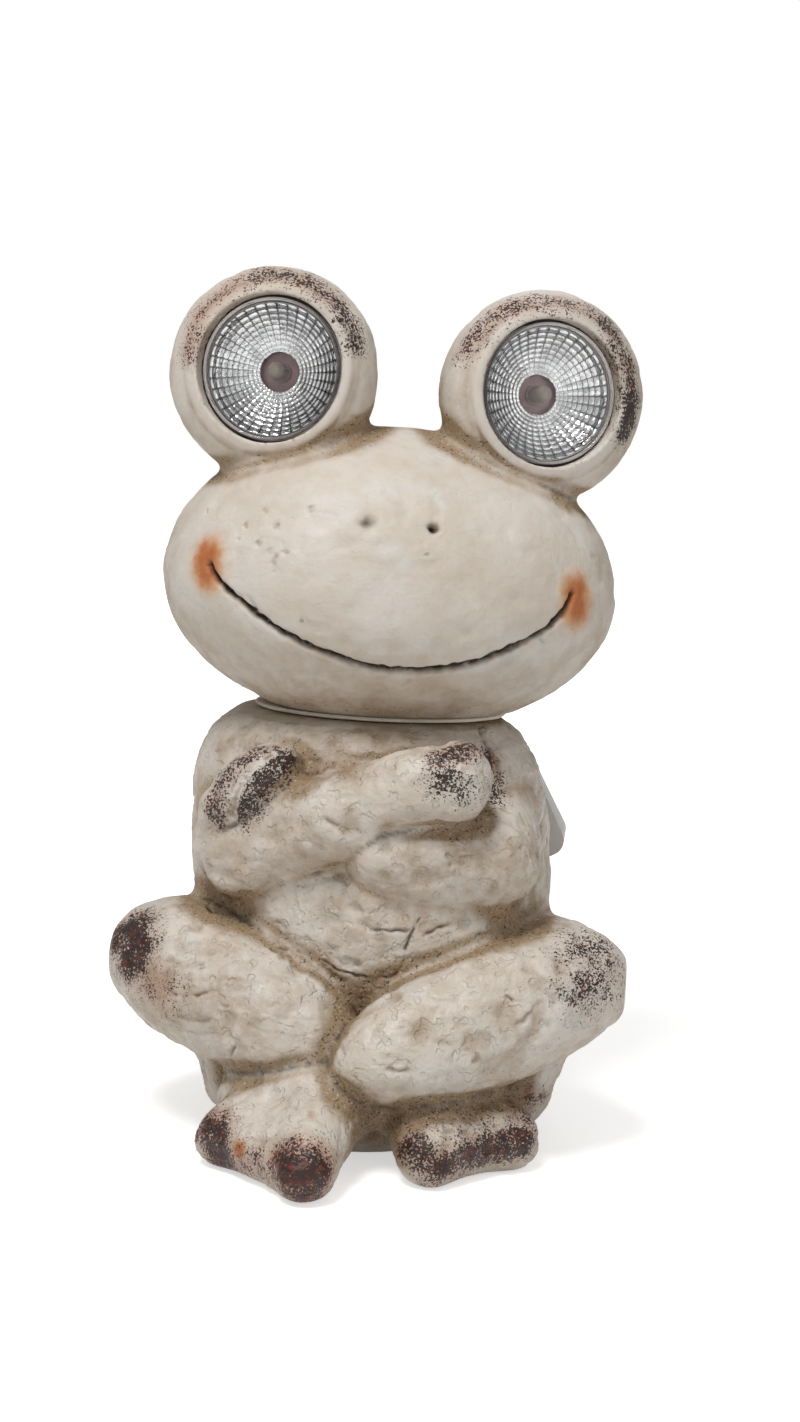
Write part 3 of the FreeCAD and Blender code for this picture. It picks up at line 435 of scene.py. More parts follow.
def surface_point(tree, x, y):
    """Where the photograph's pixel meets the surface, or the surface nearest to its ray."""
    matrix = camera_matrix()
    right = (x - PHOTO_SIZE[0] / 2) * PHOTO_MM_PER_PIXEL
    up = (PHOTO_SIZE[1] / 2 - y) * PHOTO_MM_PER_PIXEL
    start = matrix.translation
    along = (matrix @ Vector((right, up, -CAMERA_DISTANCE)) - start).normalized()
    hit = tree.ray_cast(start, along)[0]
    if hit is None:
        hit = tree.find_nearest(start + along * (CAMERA_DISTANCE - 20))[0]
    return np.array(hit)


def surface_line(tree, pixels, rounds=2):
    """Line on the surface through pixels, given as x and y in turn, with its corners rounded."""
    return smooth_line([surface_point(tree, *pixel) for pixel in zip(pixels[::2], pixels[1::2])], rounds)


def to_line(points, line):
    """Distance of points to a line of points, and the share along it."""
    best = np.full(len(points), 1e9)
    place = np.zeros(len(points))
    count = max(len(line) - 1, 1)
    for i in range(count):
        start = line[i]
        run = (line[i + 1] if len(line) > 1 else line[i]) - start
        size = max(float(run @ run), 1e-9)
        share = np.clip((points - start) @ run / size, 0, 1)
        away = length(points - start - share[:, None] * run)
        near = away < best
        best = np.where(near, away, best)
        place = np.where(near, (i + share) / count, place)
    return best, place


def smooth_line(points, rounds=2):
    for _ in range(rounds):
        if len(points) < 3:
            return points
        out = [points[0]]
        for i in range(len(points) - 1):
            out.append(points[i] * 0.75 + points[i + 1] * 0.25)
            out.append(points[i] * 0.25 + points[i + 1] * 0.75)
        out.append(points[-1])
        points = out
    return points


def near_line(points, line, reach):
    """Indices of the points in the box that ends this far outside a line."""
    low, high = np.min(line, axis=0) - reach, np.max(line, axis=0) + reach
    return np.where(np.all((points > low) & (points < high), axis=1))[0]


def groove(points, normals, line, width, depth, dirt_and_groove_shade, dark):
    """Inward move along a line, fading at its ends, and its dark filling of dirt and painted shade."""
    near = near_line(points, line, 3 * width)
    spots = points[near]
    if not len(spots):
        return
    wobble = 1 + GROOVE_RAGGED * noise(spots, 2.6, 11)
    drift = np.stack([noise(spots, 1.9, 12 + k) for k in range(3)], axis=1)
    away, share = to_line(spots + drift * (GROOVE_RAGGED * 1.1 * min(width, 1.4)), line)
    run = sum(float(np.linalg.norm(line[i + 1] - line[i])) for i in range(len(line) - 1))
    ends = min(0.3, 2.4 / max(run, 1e-6))
    fade = soft_step(share, -0.02, ends) * soft_step(1 - share, -0.02, ends) if len(line) > 1 else 1.0
    move = depth * wobble * fade * np.exp(-(away / (width * 0.5)) ** 2)
    points[near] = spots - normals[near] * move[:, None]
    fill = np.minimum(1.5 * dark * fade * np.exp(-(away / (width * 0.36)) ** 2), 1)
    dirt_and_groove_shade[near] = np.maximum(dirt_and_groove_shade[near], fill)


def zone(points, line, radius, soft=0.45):
    """One within a radius of a line, falling off over its soft share."""
    away, _ = to_line(points, line)
    return 1 - soft_step(away, radius * (1 - soft), radius * (1 + soft))


@contextmanager
def editing(mesh):
    """A mesh opened for edits, and written back after them."""
    work = bmesh.new()
    work.from_mesh(mesh)
    yield work
    work.to_mesh(mesh)
    work.free()


def subdivide_near(points, quads, lines, reach):
    """Splits quads that lie near the lines, for finer detail there."""
    near = np.zeros(len(points), dtype=bool)
    for line in lines:
        box = near_line(points, line, reach)
        if len(box):
            away, _ = to_line(points[box], line)
            near[box[away < reach]] = True
    mesh = bpy.data.meshes.new("work")
    mesh.from_pydata(points.tolist(), [], [tuple(map(int, face)) for face in quads])
    with editing(mesh) as work:
        work.verts.ensure_lookup_table()
        edges = [e for e in work.edges if near[e.verts[0].index] and near[e.verts[1].index]]
        bmesh.ops.subdivide_edges(work, edges=edges, cuts=1, use_grid_fill=True)
    places = np.empty(len(mesh.vertices) * 3)
    mesh.vertices.foreach_get("co", places)
    faces = [tuple(p.vertices) for p in mesh.polygons]
    bpy.data.meshes.remove(mesh)
    return places.reshape(-1, 3), faces


# Photograph's details, by pixel: lines with width and depth in mm, and the darkness of their filling, which
# is dirt and painted shade in the groove

BODY_LINES = [
    ((273, 752, 249, 770, 235, 794, 232, 820, 236, 829), 2.0, 1.3, 0.0),
    ((461, 767, 480, 769, 492, 774), 2.2, 0.6, 0.0),
    ((478, 724, 484, 738, 492, 751, 500, 764, 505, 787, 507, 812), 1.6, 1.3, 0.26),
    ((278, 945, 302, 954, 318, 959, 333, 969, 353, 975, 371, 979, 394, 978, 404, 963, 407, 945, 416, 925,
      420, 917), 1.1, 1.0, 0.6), ((365, 925, 370, 930, 382, 930, 412, 931), 1.1, 0.9, 0.5),
    ((422, 936, 445, 926, 457, 922), 1.2, 1.0, 0.5), ((272, 922, 281, 925, 287, 932), 1.4, 1.1, 0.6),
    ((305, 937, 312, 943, 318, 941), 1.3, 0.9, 0.5),
    ((277, 872, 286, 875, 297, 876, 310, 877, 323, 873), 1.1, 0.9, 0.5),
    ((169, 995, 186, 996, 200, 994, 221, 989, 228, 984), 1.4, 1.0, 0.3),
    ((216, 1000, 224, 1008, 238, 1001), 1.4, 0.9, 0.3), ((255, 1026, 262, 1020, 270, 1018), 1.3, 1.0, 0.4),
    ((231, 1057, 234, 1049, 238, 1045), 1.2, 1.0, 0.3), ((505, 994, 511, 998, 514, 1001), 1.4, 1.1, 0.6),
    ((513, 1029, 522, 1021, 530, 1016, 538, 1009, 544, 1001), 2.2, 1.4, 0.35),
    ((470, 1018, 477, 1024, 486, 1032), 1.2, 0.5, 0.26), ((207, 903, 214, 912, 219, 905), 2.0, 0.9, 0.8),
    ((446, 852, 455, 858, 466, 866), 2.4, 1.1, 0.1), ((462, 846, 455, 858, 449, 868), 2.2, 1.0, 0.1),
    ((455, 858, 470, 856), 2.0, 0.8, 0.1), ((520, 845, 528, 852, 531, 862), 1.8, 0.8, 0.1),
    ((322, 815, 330, 824, 343, 826), 2.2, 0.9, 0.1), ((352, 806, 349, 818, 345, 830), 2.0, 0.9, 0.1),
    ((300, 836, 310, 842), 2.0, 0.8, 0.1), ((163, 960, 185, 966, 205, 962), 2.4, 0.8, 0.1),
    ((176, 1018, 196, 1024, 214, 1020), 2.4, 0.8, 0.1), ((430, 1040, 452, 1046, 470, 1042), 2.4, 0.8, 0.1),
    ((380, 1068, 396, 1074, 410, 1070), 2.2, 0.9, 0.2), ((470, 1064, 486, 1060, 500, 1062), 2.2, 0.9, 0.2),
    ((350, 905, 362, 912, 378, 908), 2.4, 0.8, 0.05), ((330, 958, 344, 966, 362, 962), 2.4, 0.8, 0.05),
    ((430, 1116, 450, 1122, 480, 1116), 2.4, 1.0, 0.15),
    ((444, 1128, 470, 1132, 500, 1124), 2.2, 0.9, 0.15),
]
HEAD_LINES = [
    # Mouth
    ((208, 563, 211, 573, 222, 586, 246, 607, 270, 625, 300, 643, 330, 655, 358, 665, 385, 670, 412, 672,
      440, 670, 470, 665, 500, 655, 527, 643, 550, 628, 563, 614, 571, 601, 573, 592), 2.1, 2.2, 1.0),
    # Dents
    ((243, 522, 247, 528), 1.8, 0.6, 0.2), ((262, 508, 268, 512), 1.8, 0.5, 0.15),
    ((272, 528, 280, 524), 2.2, 0.6, 0.2), ((255, 540, 262, 546), 2.0, 0.6, 0.2),
    ((283, 548, 288, 554), 1.8, 0.5, 0.15), ((310, 505, 312, 514), 1.6, 0.5, 0.2),
    ((206, 508, 207, 513), 1.2, 0.5, 0.5), ((427, 553, 427, 557), 1.2, 0.6, 0.6),
    ((299, 619, 304, 622), 1.2, 0.5, 0.4), ((270, 560, 276, 566), 2.0, 0.5, 0.15),
    ((236, 536, 240, 540), 1.8, 0.4, 0.15), ((268, 548, 270, 556), 1.8, 0.4, 0.15),
    # Nostrils
    ((367, 521), 4.8, 1.6, 0.5), ((434, 527), 2.8, 2.4, 1.0),
]

# Speckled zones: line by pixel, radius in mm, strength, and a red tint share
SPECKLES_HEAD = [
    ((190, 350, 199, 315, 212, 299, 231, 286, 257, 274), 4.5, 0.42, 0.9),
    ((257, 274, 280, 272, 306, 280, 326, 293, 342, 312), 4.5, 0.6, 0.5),
    ((342, 312, 352, 328, 357, 342), 4.0, 0.72, 0.2),
    ((466, 347, 478, 331, 495, 315, 524, 304), 4.5, 0.55, 0.6),
    ((524, 304, 556, 301, 586, 307, 605, 321), 4.0, 0.5, 0.5),
    ((605, 321, 618, 344, 628, 370, 632, 393), 4.2, 0.66, 0.3),
    ((632, 400, 630, 419, 625, 433), 4.0, 0.86, 0.1),
]
SPECKLES_BODY = [
    ((268, 750, 242, 761, 220, 784, 212, 808, 214, 818), 4.2, 0.6, 0.5),
    ((287, 758, 270, 776, 252, 796, 243, 814), 3.8, 0.76, 0.2),
    ((440, 758, 468, 753, 490, 760), 3.8, 0.8, 0.6), ((437, 778, 462, 788, 492, 794), 4.6, 0.66, 0.1),
    ((118, 936, 132, 920, 138, 940, 130, 960), 6.5, 0.86, 0.5),
    ((128, 965, 150, 985, 160, 990), 7.0, 0.4, 0.9),
    ((584, 948, 600, 952, 600, 984, 586, 988), 8.0, 0.58, 0.3),
    ((206, 1128, 214, 1140, 220, 1156), 6.5, 0.84, 0.7), ((238, 1160, 258, 1168), 5.5, 0.5, 0.9),
    ((285, 1165, 300, 1176, 312, 1168, 302, 1192), 7.5, 0.88, 0.9),
    ((408, 1146, 426, 1166, 450, 1168, 474, 1158), 5.5, 0.76, 0.5),
    ((474, 1156, 502, 1150, 524, 1140), 5.5, 0.86, 0.6),
    ((410, 1130, 450, 1140, 490, 1130), 6.0, 0.34, 0.3), ((490, 764, 500, 784), 3.8, 0.6, 0.3),
    ((520, 1120, 536, 1102), 4.5, 0.6, 0.6),
]
BLUSH_HEAD = [((206, 557, 207, 570), 5.6), ((577, 594, 578, 608), 5.6)]
BLUSH_BODY = [((238, 1150), 2.4)]

# Dirt, and on the body painted shade too: line by pixel, radius in mm and strength
GRIME_HEAD = [
    ((556, 494, 566, 504), 4.0, 0.9), ((443, 424, 452, 430), 4.0, 0.9), ((366, 418, 372, 428), 4.0, 0.9),
]
DIRT_AND_SHADE_BODY = [
    ((330, 760, 352, 768), 9.0, 0.9), ((296, 790, 320, 778), 4.0, 0.9), ((384, 832, 390, 826), 2.5, 0.9),
    ((215, 905, 232, 922), 5.0, 0.9), ((340, 1030, 352, 1018), 6.0, 0.9),
    ((360, 1120, 380, 1135), 7.0, 0.9), ((497, 760, 506, 810), 1.8, 0.9),
    # The zones on this line and the next two are painted shade: the chest under the head, the flank, elbow,
    # belly, left leg and torso side
    ((230, 735, 330, 745, 420, 735), 10.0, 0.6), ((220, 850, 290, 850), 14.0, 0.52),
    ((440, 860, 500, 870), 15.0, 0.62), ((340, 910, 400, 910), 17.0, 0.55),
    ((150, 990, 250, 1010), 19.0, 0.52), ((535, 850, 540, 905), 9.0, 0.7),
    ((300, 1070, 330, 1100), 8.0, 0.4), ((390, 1120, 470, 1110, 520, 1100), 7.0, 0.55),
]

# Dark crumbly filling where masses meet: line by pixel, radius in mm and darkness
FOLDS_BODY = [
    ((232, 829, 264, 822, 292, 800, 325, 779), 6.0, 0.7),
    ((384, 834, 404, 812, 435, 808, 481, 808, 513, 834), 7.0, 0.75),
    ((205, 1069, 238, 1072, 272, 1068, 300, 1059, 334, 1042), 7.0, 0.75),
    ((351, 1101, 393, 1106, 444, 1101, 496, 1095, 540, 1085), 7.0, 0.7),
    ((330, 1018, 345, 1030, 350, 1012), 7.0, 0.8), ((210, 900, 222, 915, 240, 930), 6.0, 0.8),
    ((310, 770, 350, 775, 390, 755), 6.0, 0.6),
]
FOLDS_HEAD = [((556, 494, 572, 510), 6.0, 0.5)]

# Creases that stay free of speckles
CLEAN_BODY = [
    ((273, 752, 249, 770, 235, 794, 232, 820, 236, 829), 1.1), ((461, 767, 480, 769, 492, 774), 1.0),
]


def scratches(points, normals, count, allowed):
    """Short scattered nicks: lines on the surface with widths and depths."""
    pick = np.random.default_rng(21)
    places = np.where(allowed)[0]
    out = []
    for _ in range(count):
        at = int(places[pick.integers(len(places))])
        centre, normal = points[at], normals[at]
        along = np.cross(normal, pick.normal(size=3))
        along /= max(np.linalg.norm(along), 1e-6)
        bend = np.cross(normal, along) * pick.uniform(-0.3, 0.3)
        size = pick.uniform(1.0, 3.8)
        line = [centre - along * size, centre + bend * size, centre + along * size]
        out.append((smooth_line(line), pick.uniform(1.1, 2.0), pick.uniform(0.3, 0.8)))
    return out


def add_attribute(mesh, name, values):
    layer = mesh.attributes.new(name, "FLOAT", "POINT")
    layer.data.foreach_set("value", np.clip(values, 0, 1).astype(np.float32))


def add_object(name, data):
    piece = bpy.data.objects.new(name, data)
    bpy.context.scene.collection.objects.link(piece)
    return piece


def make_object(name, points, faces):
    mesh = bpy.data.meshes.new(name)
    mesh.from_pydata((np.asarray(points) * MM).tolist(), [], faces)
    mesh.update()
    mesh.polygons.foreach_set("use_smooth", [True] * len(mesh.polygons))
    return add_object(name, mesh)


def finish_piece(piece, slot, replaced, body=BODY):
    """The piece's material, body, slot and the nodes that it stands for."""
    piece.data.materials.clear()
    piece.data.materials.append(MATERIALS[slot])
    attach(piece, body)
    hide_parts(*replaced)


def near_frame(points):
    """One close to the construction's box at the sides, front and back, nothing well inside it."""
    out = np.zeros(len(points))
    for k, bound, sign in FRAME_SIDES:
        out = np.maximum(out, 1 - soft_step((bound - points[:, k]) * sign, 1.0, 5.0))
    return out


def within_frame(points):
    """Points pressed softly in where the surface would stand out of the construction's box."""
    out = points.copy()
    for k, bound, sign in FRAME_SIDES:
        beyond = (out[:, k] - bound) * sign + FRAME_ROOM
        eased = FRAME_ROOM * (1 - np.exp(-np.maximum(beyond, 0) / FRAME_ROOM))
        out[:, k] = np.where(beyond > 0, bound + sign * (eased - FRAME_ROOM), out[:, k])
    return out


def relief(points, normals, strength):
    """Uneven hand-smoothed surface: broad swells, soft dents and small pits."""
    broad = 0.50 * noise(points, 15.0, 1) + 0.62 * noise(points, 7.5, 2) - 0.3
    dents = np.minimum(noise(points, 4.6, 3) + 0.1, 0) * 1.3
    ridges = -0.34 * np.maximum(1 - 5 * np.abs(noise(points * np.array((1.0, 1.0, 1.7)), 7.0, 5)), 0)
    grain = 0.10 * noise(points, 2.1, 4)
    return points + normals * ((broad + dents + ridges + grain) * strength)[:, None]


def cast_skin(name, replaced, forms, box, details, marks, nicks, rough):
    """Sculpted skin of a casting within a box, with a number of nicks, and its masks as attributes."""
    field, crease_of, quiet = forms
    points, quads = extract(field, *box)
    points, faces = settle(field, points), outward(points, quads)
    tree = BVHTree.FromPolygons(points.tolist(), faces.tolist())
    lines = [surface_line(tree, row[0]) for row in details]
    for reach in (2.6, 1.3):
        points, faces = subdivide_near(points, faces, lines, reach)
        points = settle(field, points, 1)
    normals = gradient(field, points)
    loose = 1 - quiet(points)
    base = points.copy()
    points = relief(points, normals, loose * rough * (1 - near_frame(points)))
    dirt_and_groove_shade = np.zeros(len(points))
    for line, (_, width, depth, dark) in zip(lines, details):
        groove(points, normals, line, width, depth, dirt_and_groove_shade, dark)
    for line, width, depth in scratches(base, normals, nicks, (loose > 0.9) & (base[:, 1] < 10)):
        groove(points, normals, line, width, depth, dirt_and_groove_shade, depth * NICK_DIRT_AND_SHADE)
    piece = make_object(name, within_frame(points), faces)
    sunk = -np.einsum("ij,ij->i", points - base, normals)
    masks = skin_masks(tree, base, normals, dirt_and_groove_shade, sunk, (field, crease_of), marks)
    masks["coarse"] = loose * min(rough, 1.0) ** 2
    for label, values in masks.items():
        add_attribute(piece.data, label, values)
    finish_piece(piece, "cast_stone", [replaced])


def skin_masks(tree, base, normals, dirt_and_groove_shade, sunk, forms, marks):
    """Where dirt and painted shade, the dark filling of dirt and groove shade, speckles and blush lie."""
    field, crease_of = forms
    speckles, cleans, blushes, dirt_and_shade_zones, folds = marks
    # The second value is painted shade below the head and chin, with the darker ring round the lamps' lips
    apart, shade_below_and_lip_ring = crease_of(base)
    # Darker where two masses meet, varied by a noise
    crease = np.exp(-np.maximum(apart, 0) / 3.0) * (0.62 + 0.3 * noise(base, 14.0, 31))
    # Painted occlusion shade, darker the more closed-in a point lies
    painted_occlusion = soft_step(hollow(field, base, normals), 0.05, 0.6)
    # Painted shade on faces turned sideways, and more on faces turned down
    painted_side_shade = soft_step(np.abs(normals[:, 0]), 0.6, 1.0) * 0.34
    painted_side_shade = painted_side_shade + soft_step(-normals[:, 2], 0.0, 0.8) * 0.4
    # One mask of dirt and painted shade, which also darkens where the surface sinks in
    dirt_and_shade = np.maximum.reduce([crease, shade_below_and_lip_ring, painted_occlusion, painted_side_shade, 0.5 * soft_step(sunk, 0.4, 1.4)])
    crumbly = soft_step(noise(base, 1.7, 34), -0.75, 0.1)
    for pixels, radius, dark in folds:
        filled = zone(base, surface_line(tree, pixels, 0), radius, 0.4)
        dirt_and_groove_shade = np.maximum(dirt_and_groove_shade, dark * filled * np.exp(-(apart / 0.9) ** 2) * crumbly)
    mottled = 0.78 + 0.22 * noise(base, 3.0, 33)
    # Listed zones of dirt, and on the body broad zones of painted shade
    for pixels, radius, strength in dirt_and_shade_zones:
        stain = zone(base, surface_line(tree, pixels, 0), radius, 0.8)
        dirt_and_shade = np.maximum(dirt_and_shade, stain * strength * mottled)
    speckle, red, blush = (np.zeros(len(base)) for _ in range(3))
    for pixels, radius, strength, tint in speckles:
        amount = strength * zone(base, surface_line(tree, pixels), radius * 1.1, 0.85)
        red = np.where(amount > speckle, tint, red)
        speckle = np.maximum(speckle, amount)
    for pixels, radius in cleans:
        speckle *= 1 - zone(base, surface_line(tree, pixels), radius, 0.5)
    for pixels, radius in blushes:
        blush = np.maximum(blush, zone(base, surface_line(tree, pixels, 0), radius, 0.9))
    return {"dirt_and_shade": dirt_and_shade, "speckle": speckle, "red": red, "blush": blush, "dirt_and_groove_shade": dirt_and_groove_shade}


def body_quiet(points):
    """Flat bottom, seat of the module and top face stay plain."""
    return np.maximum.reduce([
        1 - soft_step(points[:, 2], 0.3, 3.0), soft_step(points[:, 1], PAD_BACK - 3.0, PAD_BACK - 0.5),
        soft_step(points[:, 2], TORSO_HEIGHT - 2, TORSO_HEIGHT - 0.6)])


def head_quiet(points):
    """Flat bottom and the lamps' seats stay plain."""
    out = 1 - soft_step(points[:, 2], HEAD_BOTTOM + 0.3, HEAD_BOTTOM + 3.0)
    for side in (-1, 1):
        station, off = at_lens(points, side)
        out = np.maximum(out, (1 - soft_step(off, 24.5, 27.0)) * (station > -20))
    return out


# Materials

def linear(red, green, blue):
    out = []
    for value in (red, green, blue):
        share = value / 255
        out.append(share / 12.92 if share <= 0.04045 else ((share + 0.055) / 1.055) ** 2.4)
    return (*out, 1.0)


class Nodes:
    """Short way to write the nodes of a material or a world."""

    def __init__(self, block, shader="Principled BSDF"):
        block.use_nodes = True
        self.tree = block.node_tree
        self.shader = self.tree.nodes[shader]
        self.coords = self.new("TexCoord").outputs

    def new(self, kind, inputs=()):
        return self.fill(self.tree.nodes.new("ShaderNode" + kind), inputs)

    def fill(self, node, inputs):
        """Sets or links a node's inputs, given as pairs of key and value."""
        for key, value in inputs:
            if hasattr(value, "links"):
                self.tree.links.new(value, node.inputs[key])
            else:
                node.inputs[key].default_value = value
        return node

    def surface(self, *inputs):
        self.fill(self.shader, inputs)

    def noise(self, cell, detail=2.0, roughness=0.5, distortion=0.0):
        """Noise whose cells are about the given size in mm."""
        return self.new("TexNoise", [
            ("Vector", self.coords["Object"]), ("Scale", 1 / (cell * MM)), ("Detail", detail),
            ("Roughness", roughness), ("Distortion", distortion)]).outputs["Fac"]

    def patches(self, cell, detail, roughness, *limits):
        return self.steps(self.noise(cell, detail, roughness), *limits)

    def attribute(self, name):
        node = self.new("Attribute")
        node.attribute_name = name
        return node.outputs["Fac"]

    def math(self, kind, first, second=0.0):
        node = self.new("Math")
        node.operation = kind
        return self.fill(node, [(0, first), (1, second)]).outputs[0]

    def plus(self, first, second):
        return self.math("ADD", first, second)

    def times(self, first, second):
        return self.math("MULTIPLY", first, second)

    def steps(self, value, low, high, out_low=0.0, out_high=1.0, kind="SMOOTHSTEP"):
        node = self.new("MapRange")
        node.interpolation_type = kind
        return self.fill(node, [("Value", value), ("From Min", low), ("From Max", high),
                                ("To Min", out_low), ("To Max", out_high)]).outputs["Result"]

    def mix(self, share, first, second):
        node = self.new("Mix")
        node.data_type = "RGBA"
        return self.fill(node, [("Factor", share), ("A", first), ("B", second)]).outputs["Result"]

    def bump(self, height, distance, strength):
        node = self.new("Bump", [("Height", height), ("Distance", distance * MM), ("Strength", strength)])
        self.surface(("Normal", node.outputs["Normal"]))


def cast_stone(n):
    cream, warm, cool = linear(213, 204, 194), linear(202, 191, 177), linear(210, 204, 196)
    dirt_and_shade, blush, speckle, red, dirt_and_groove_shade, coarse = (
        n.attribute(name) for name in ("dirt_and_shade", "blush", "speckle", "red", "dirt_and_groove_shade", "coarse"))
    # Stone, and the brown wash of dirt and painted shade
    colour = n.mix(n.steps(n.noise(26, 3, 0.55, 0.3), 0.38, 0.66), cream, warm)
    colour = n.mix(n.patches(17, 3, 0.6, 0.5, 0.72), colour, cool)
    colour = n.mix(n.patches(5, 4, 0.65, 0.5, 0.8, 0.0, 0.35), colour, linear(190, 177, 159))
    cloudy = n.plus(dirt_and_shade, n.patches(9, 4, 0.65, 0.3, 0.7, -0.17, 0.12))
    colour = n.mix(n.steps(cloudy, 0.04, 0.95, 0.0, 0.88), colour, linear(140, 114, 80))
    # Dark crumbs and pale chips in the wash
    crumbs = n.steps(n.plus(n.noise(0.9, 2, 0.6), n.times(dirt_and_shade, 0.10)), 0.70, 0.74)
    colour = n.mix(n.times(crumbs, n.steps(dirt_and_shade, 0.25, 0.8)), colour, linear(74, 58, 44))
    chips = n.steps(n.plus(n.noise(0.8, 1, 0.5), n.times(dirt_and_shade, 0.06)), 0.70, 0.74)
    colour = n.mix(n.times(chips, n.steps(dirt_and_shade, 0.2, 0.6, 0.0, 0.5)), colour, linear(206, 192, 166))
    # Ochre blush
    mottled = n.plus(blush, n.patches(3, 3, 0.6, 0.3, 0.7, -0.1, 0.1))
    colour = n.mix(n.steps(mottled, -0.05, 0.8, 0.0, 0.8), colour, linear(206, 150, 92))
    colour = n.mix(n.steps(mottled, 0.25, 1.1, 0.0, 0.95), colour, linear(172, 92, 36))
    # Speckles on their stain
    stain = n.mix(red, linear(120, 100, 90), linear(156, 98, 66))
    share = n.times(n.steps(speckle, 0.02, 0.7, 0.0, 0.8), n.plus(n.times(red, 0.8), 0.1))
    colour = n.mix(share, colour, stain)
    dense = n.plus(n.times(n.times(speckle, speckle), 0.23), n.times(speckle, 0.18))
    patchy = n.patches(4, 2, 0.5, 0.3, 0.7, -0.06, 0.06)
    level = n.plus(dense, n.plus(n.noise(0.68, 2, 0.7), patchy))
    specks = n.times(n.steps(level, 0.674, 0.688), n.steps(speckle, 0.02, 0.12))
    rust = n.times(red, n.patches(2.2, 3, 0.6, 0.5, 0.66))
    black = n.mix(rust, n.mix(red, linear(36, 22, 17), linear(52, 28, 19)), linear(110, 48, 28))
    colour = n.mix(specks, colour, black)
    # Dark filling of the cracks: dirt, and painted shade in the grooves
    broken = n.times(dirt_and_groove_shade, n.patches(1.2, 2, 0.6, 0.25, 0.5, 0.72, 1.0))
    colour = n.mix(broken, colour, linear(36, 25, 19))
    rough = n.patches(4, 3, 0.6, 0.3, 0.7, 0.36, 0.5)
    matt = n.times(n.math("SUBTRACT", 1.0, coarse), 0.16)
    n.surface(("Base Color", colour), ("Roughness", n.plus(n.plus(rough, matt), n.times(dirt_and_shade, 0.25))))
    lumps = n.times(n.noise(5, 3, 0.55), n.times(coarse, 4.2))
    dents = n.times(n.patches(3.4, 2, 0.5, 0.56, 0.66), n.times(coarse, -1.0))
    n.bump(n.plus(n.plus(lumps, dents), n.times(n.noise(1.4, 4, 0.65), 0.5)), 0.4, 0.85)


def plain_stuff(n, colour, roughness, metallic, grain, depth, tint):
    """Moulded, rolled or cut material with a slight variation and a fine grain."""
    colour = linear(*colour)
    dark = tuple(c * (1 - tint) for c in colour[:3]) + (1.0,)
    n.surface(("Base Color", n.mix(n.patches(grain * 14, 3, 0.6, 0.3, 0.7), colour, dark)),
              ("Metallic", metallic),
              ("Roughness", n.patches(grain * 6, 3, 0.6, 0.3, 0.7, roughness - 0.05, roughness + 0.05)))
    n.bump(n.noise(grain, 2, 0.6), depth, 0.6)


def lens_clear(n):
    n.surface(("Base Color", (0.985, 0.98, 0.98, 1.0)), ("Transmission Weight", 1.0), ("IOR", 1.3),
              ("Roughness", n.patches(5, 3, 0.6, 0.4, 0.8, 0.0, 0.05)))


def cup_black(n):
    """Moulded cup, with a rim under the lens painted pale and slightly metallic as the lens edge's highlight.
    """
    wine = n.mix(n.patches(7, 3, 0.6, 0.3, 0.7), linear(146, 114, 116), linear(124, 96, 98))
    rim = n.attribute("rim")
    ring = n.mix(n.steps(rim, 0.05, 0.45), wine, linear(58, 44, 42))
    # Pale outer rim: painted highlight of the lens's edge
    n.surface(("Base Color", n.mix(n.steps(rim, 0.6, 1.0), ring, linear(186, 180, 174))),
              ("Metallic", n.times(rim, 0.4)), ("Roughness", 0.35))


def led_clear(n):
    """Cast resin, clear and slightly milky."""
    n.surface(("Base Color", n.mix(n.noise(2.5, 1), linear(134, 122, 110), linear(120, 108, 98))),
              ("Transmission Weight", 0.1), ("Roughness", 0.12), ("IOR", 1.5))


def panel_blue(n):
    """Blue cells with thin silver fingers across and broad ones down."""
    place = n.new("SeparateXYZ", [(0, n.coords["Object"])]).outputs
    across, down = (
        n.math("ABSOLUTE", n.math("SUBTRACT", n.math("FRACT", n.math("DIVIDE", place[axis], pitch)), 0.5))
        for axis, pitch in (("X", 0.012), ("Z", 0.0022)))
    lines = n.math("MAXIMUM", n.steps(across, 0.455, 0.475), n.steps(down, 0.44, 0.47, 0.0, 0.55))
    cells = n.mix(n.patches(4, 3, 0.6, 0.35, 0.65), linear(22, 28, 58), linear(30, 40, 84))
    n.surface(("Base Color", n.mix(lines, cells, linear(160, 164, 172))), ("Roughness", 0.25),
              ("Coat Weight", 1.0), ("Coat Roughness", 0.08))


def reflector_silver(n):
    """Metallised plastic, with painted shade darkening the seams between its facets."""
    bright = n.mix(n.patches(6, 2, 0.5, 0.35, 0.65), linear(198, 200, 200), linear(168, 170, 170))
    seam = n.steps(n.attribute("seam"), 0.3, 0.95, 0.0, 0.95)
    n.surface(("Base Color", n.mix(seam, bright, linear(60, 58, 60))), ("Metallic", 1.0), ("Roughness", 0.12))


def make_material(make, name, *row):
    """New material whose nodes the given function writes."""
    material = bpy.data.materials.new(name)
    make(Nodes(material), *row)
    return material


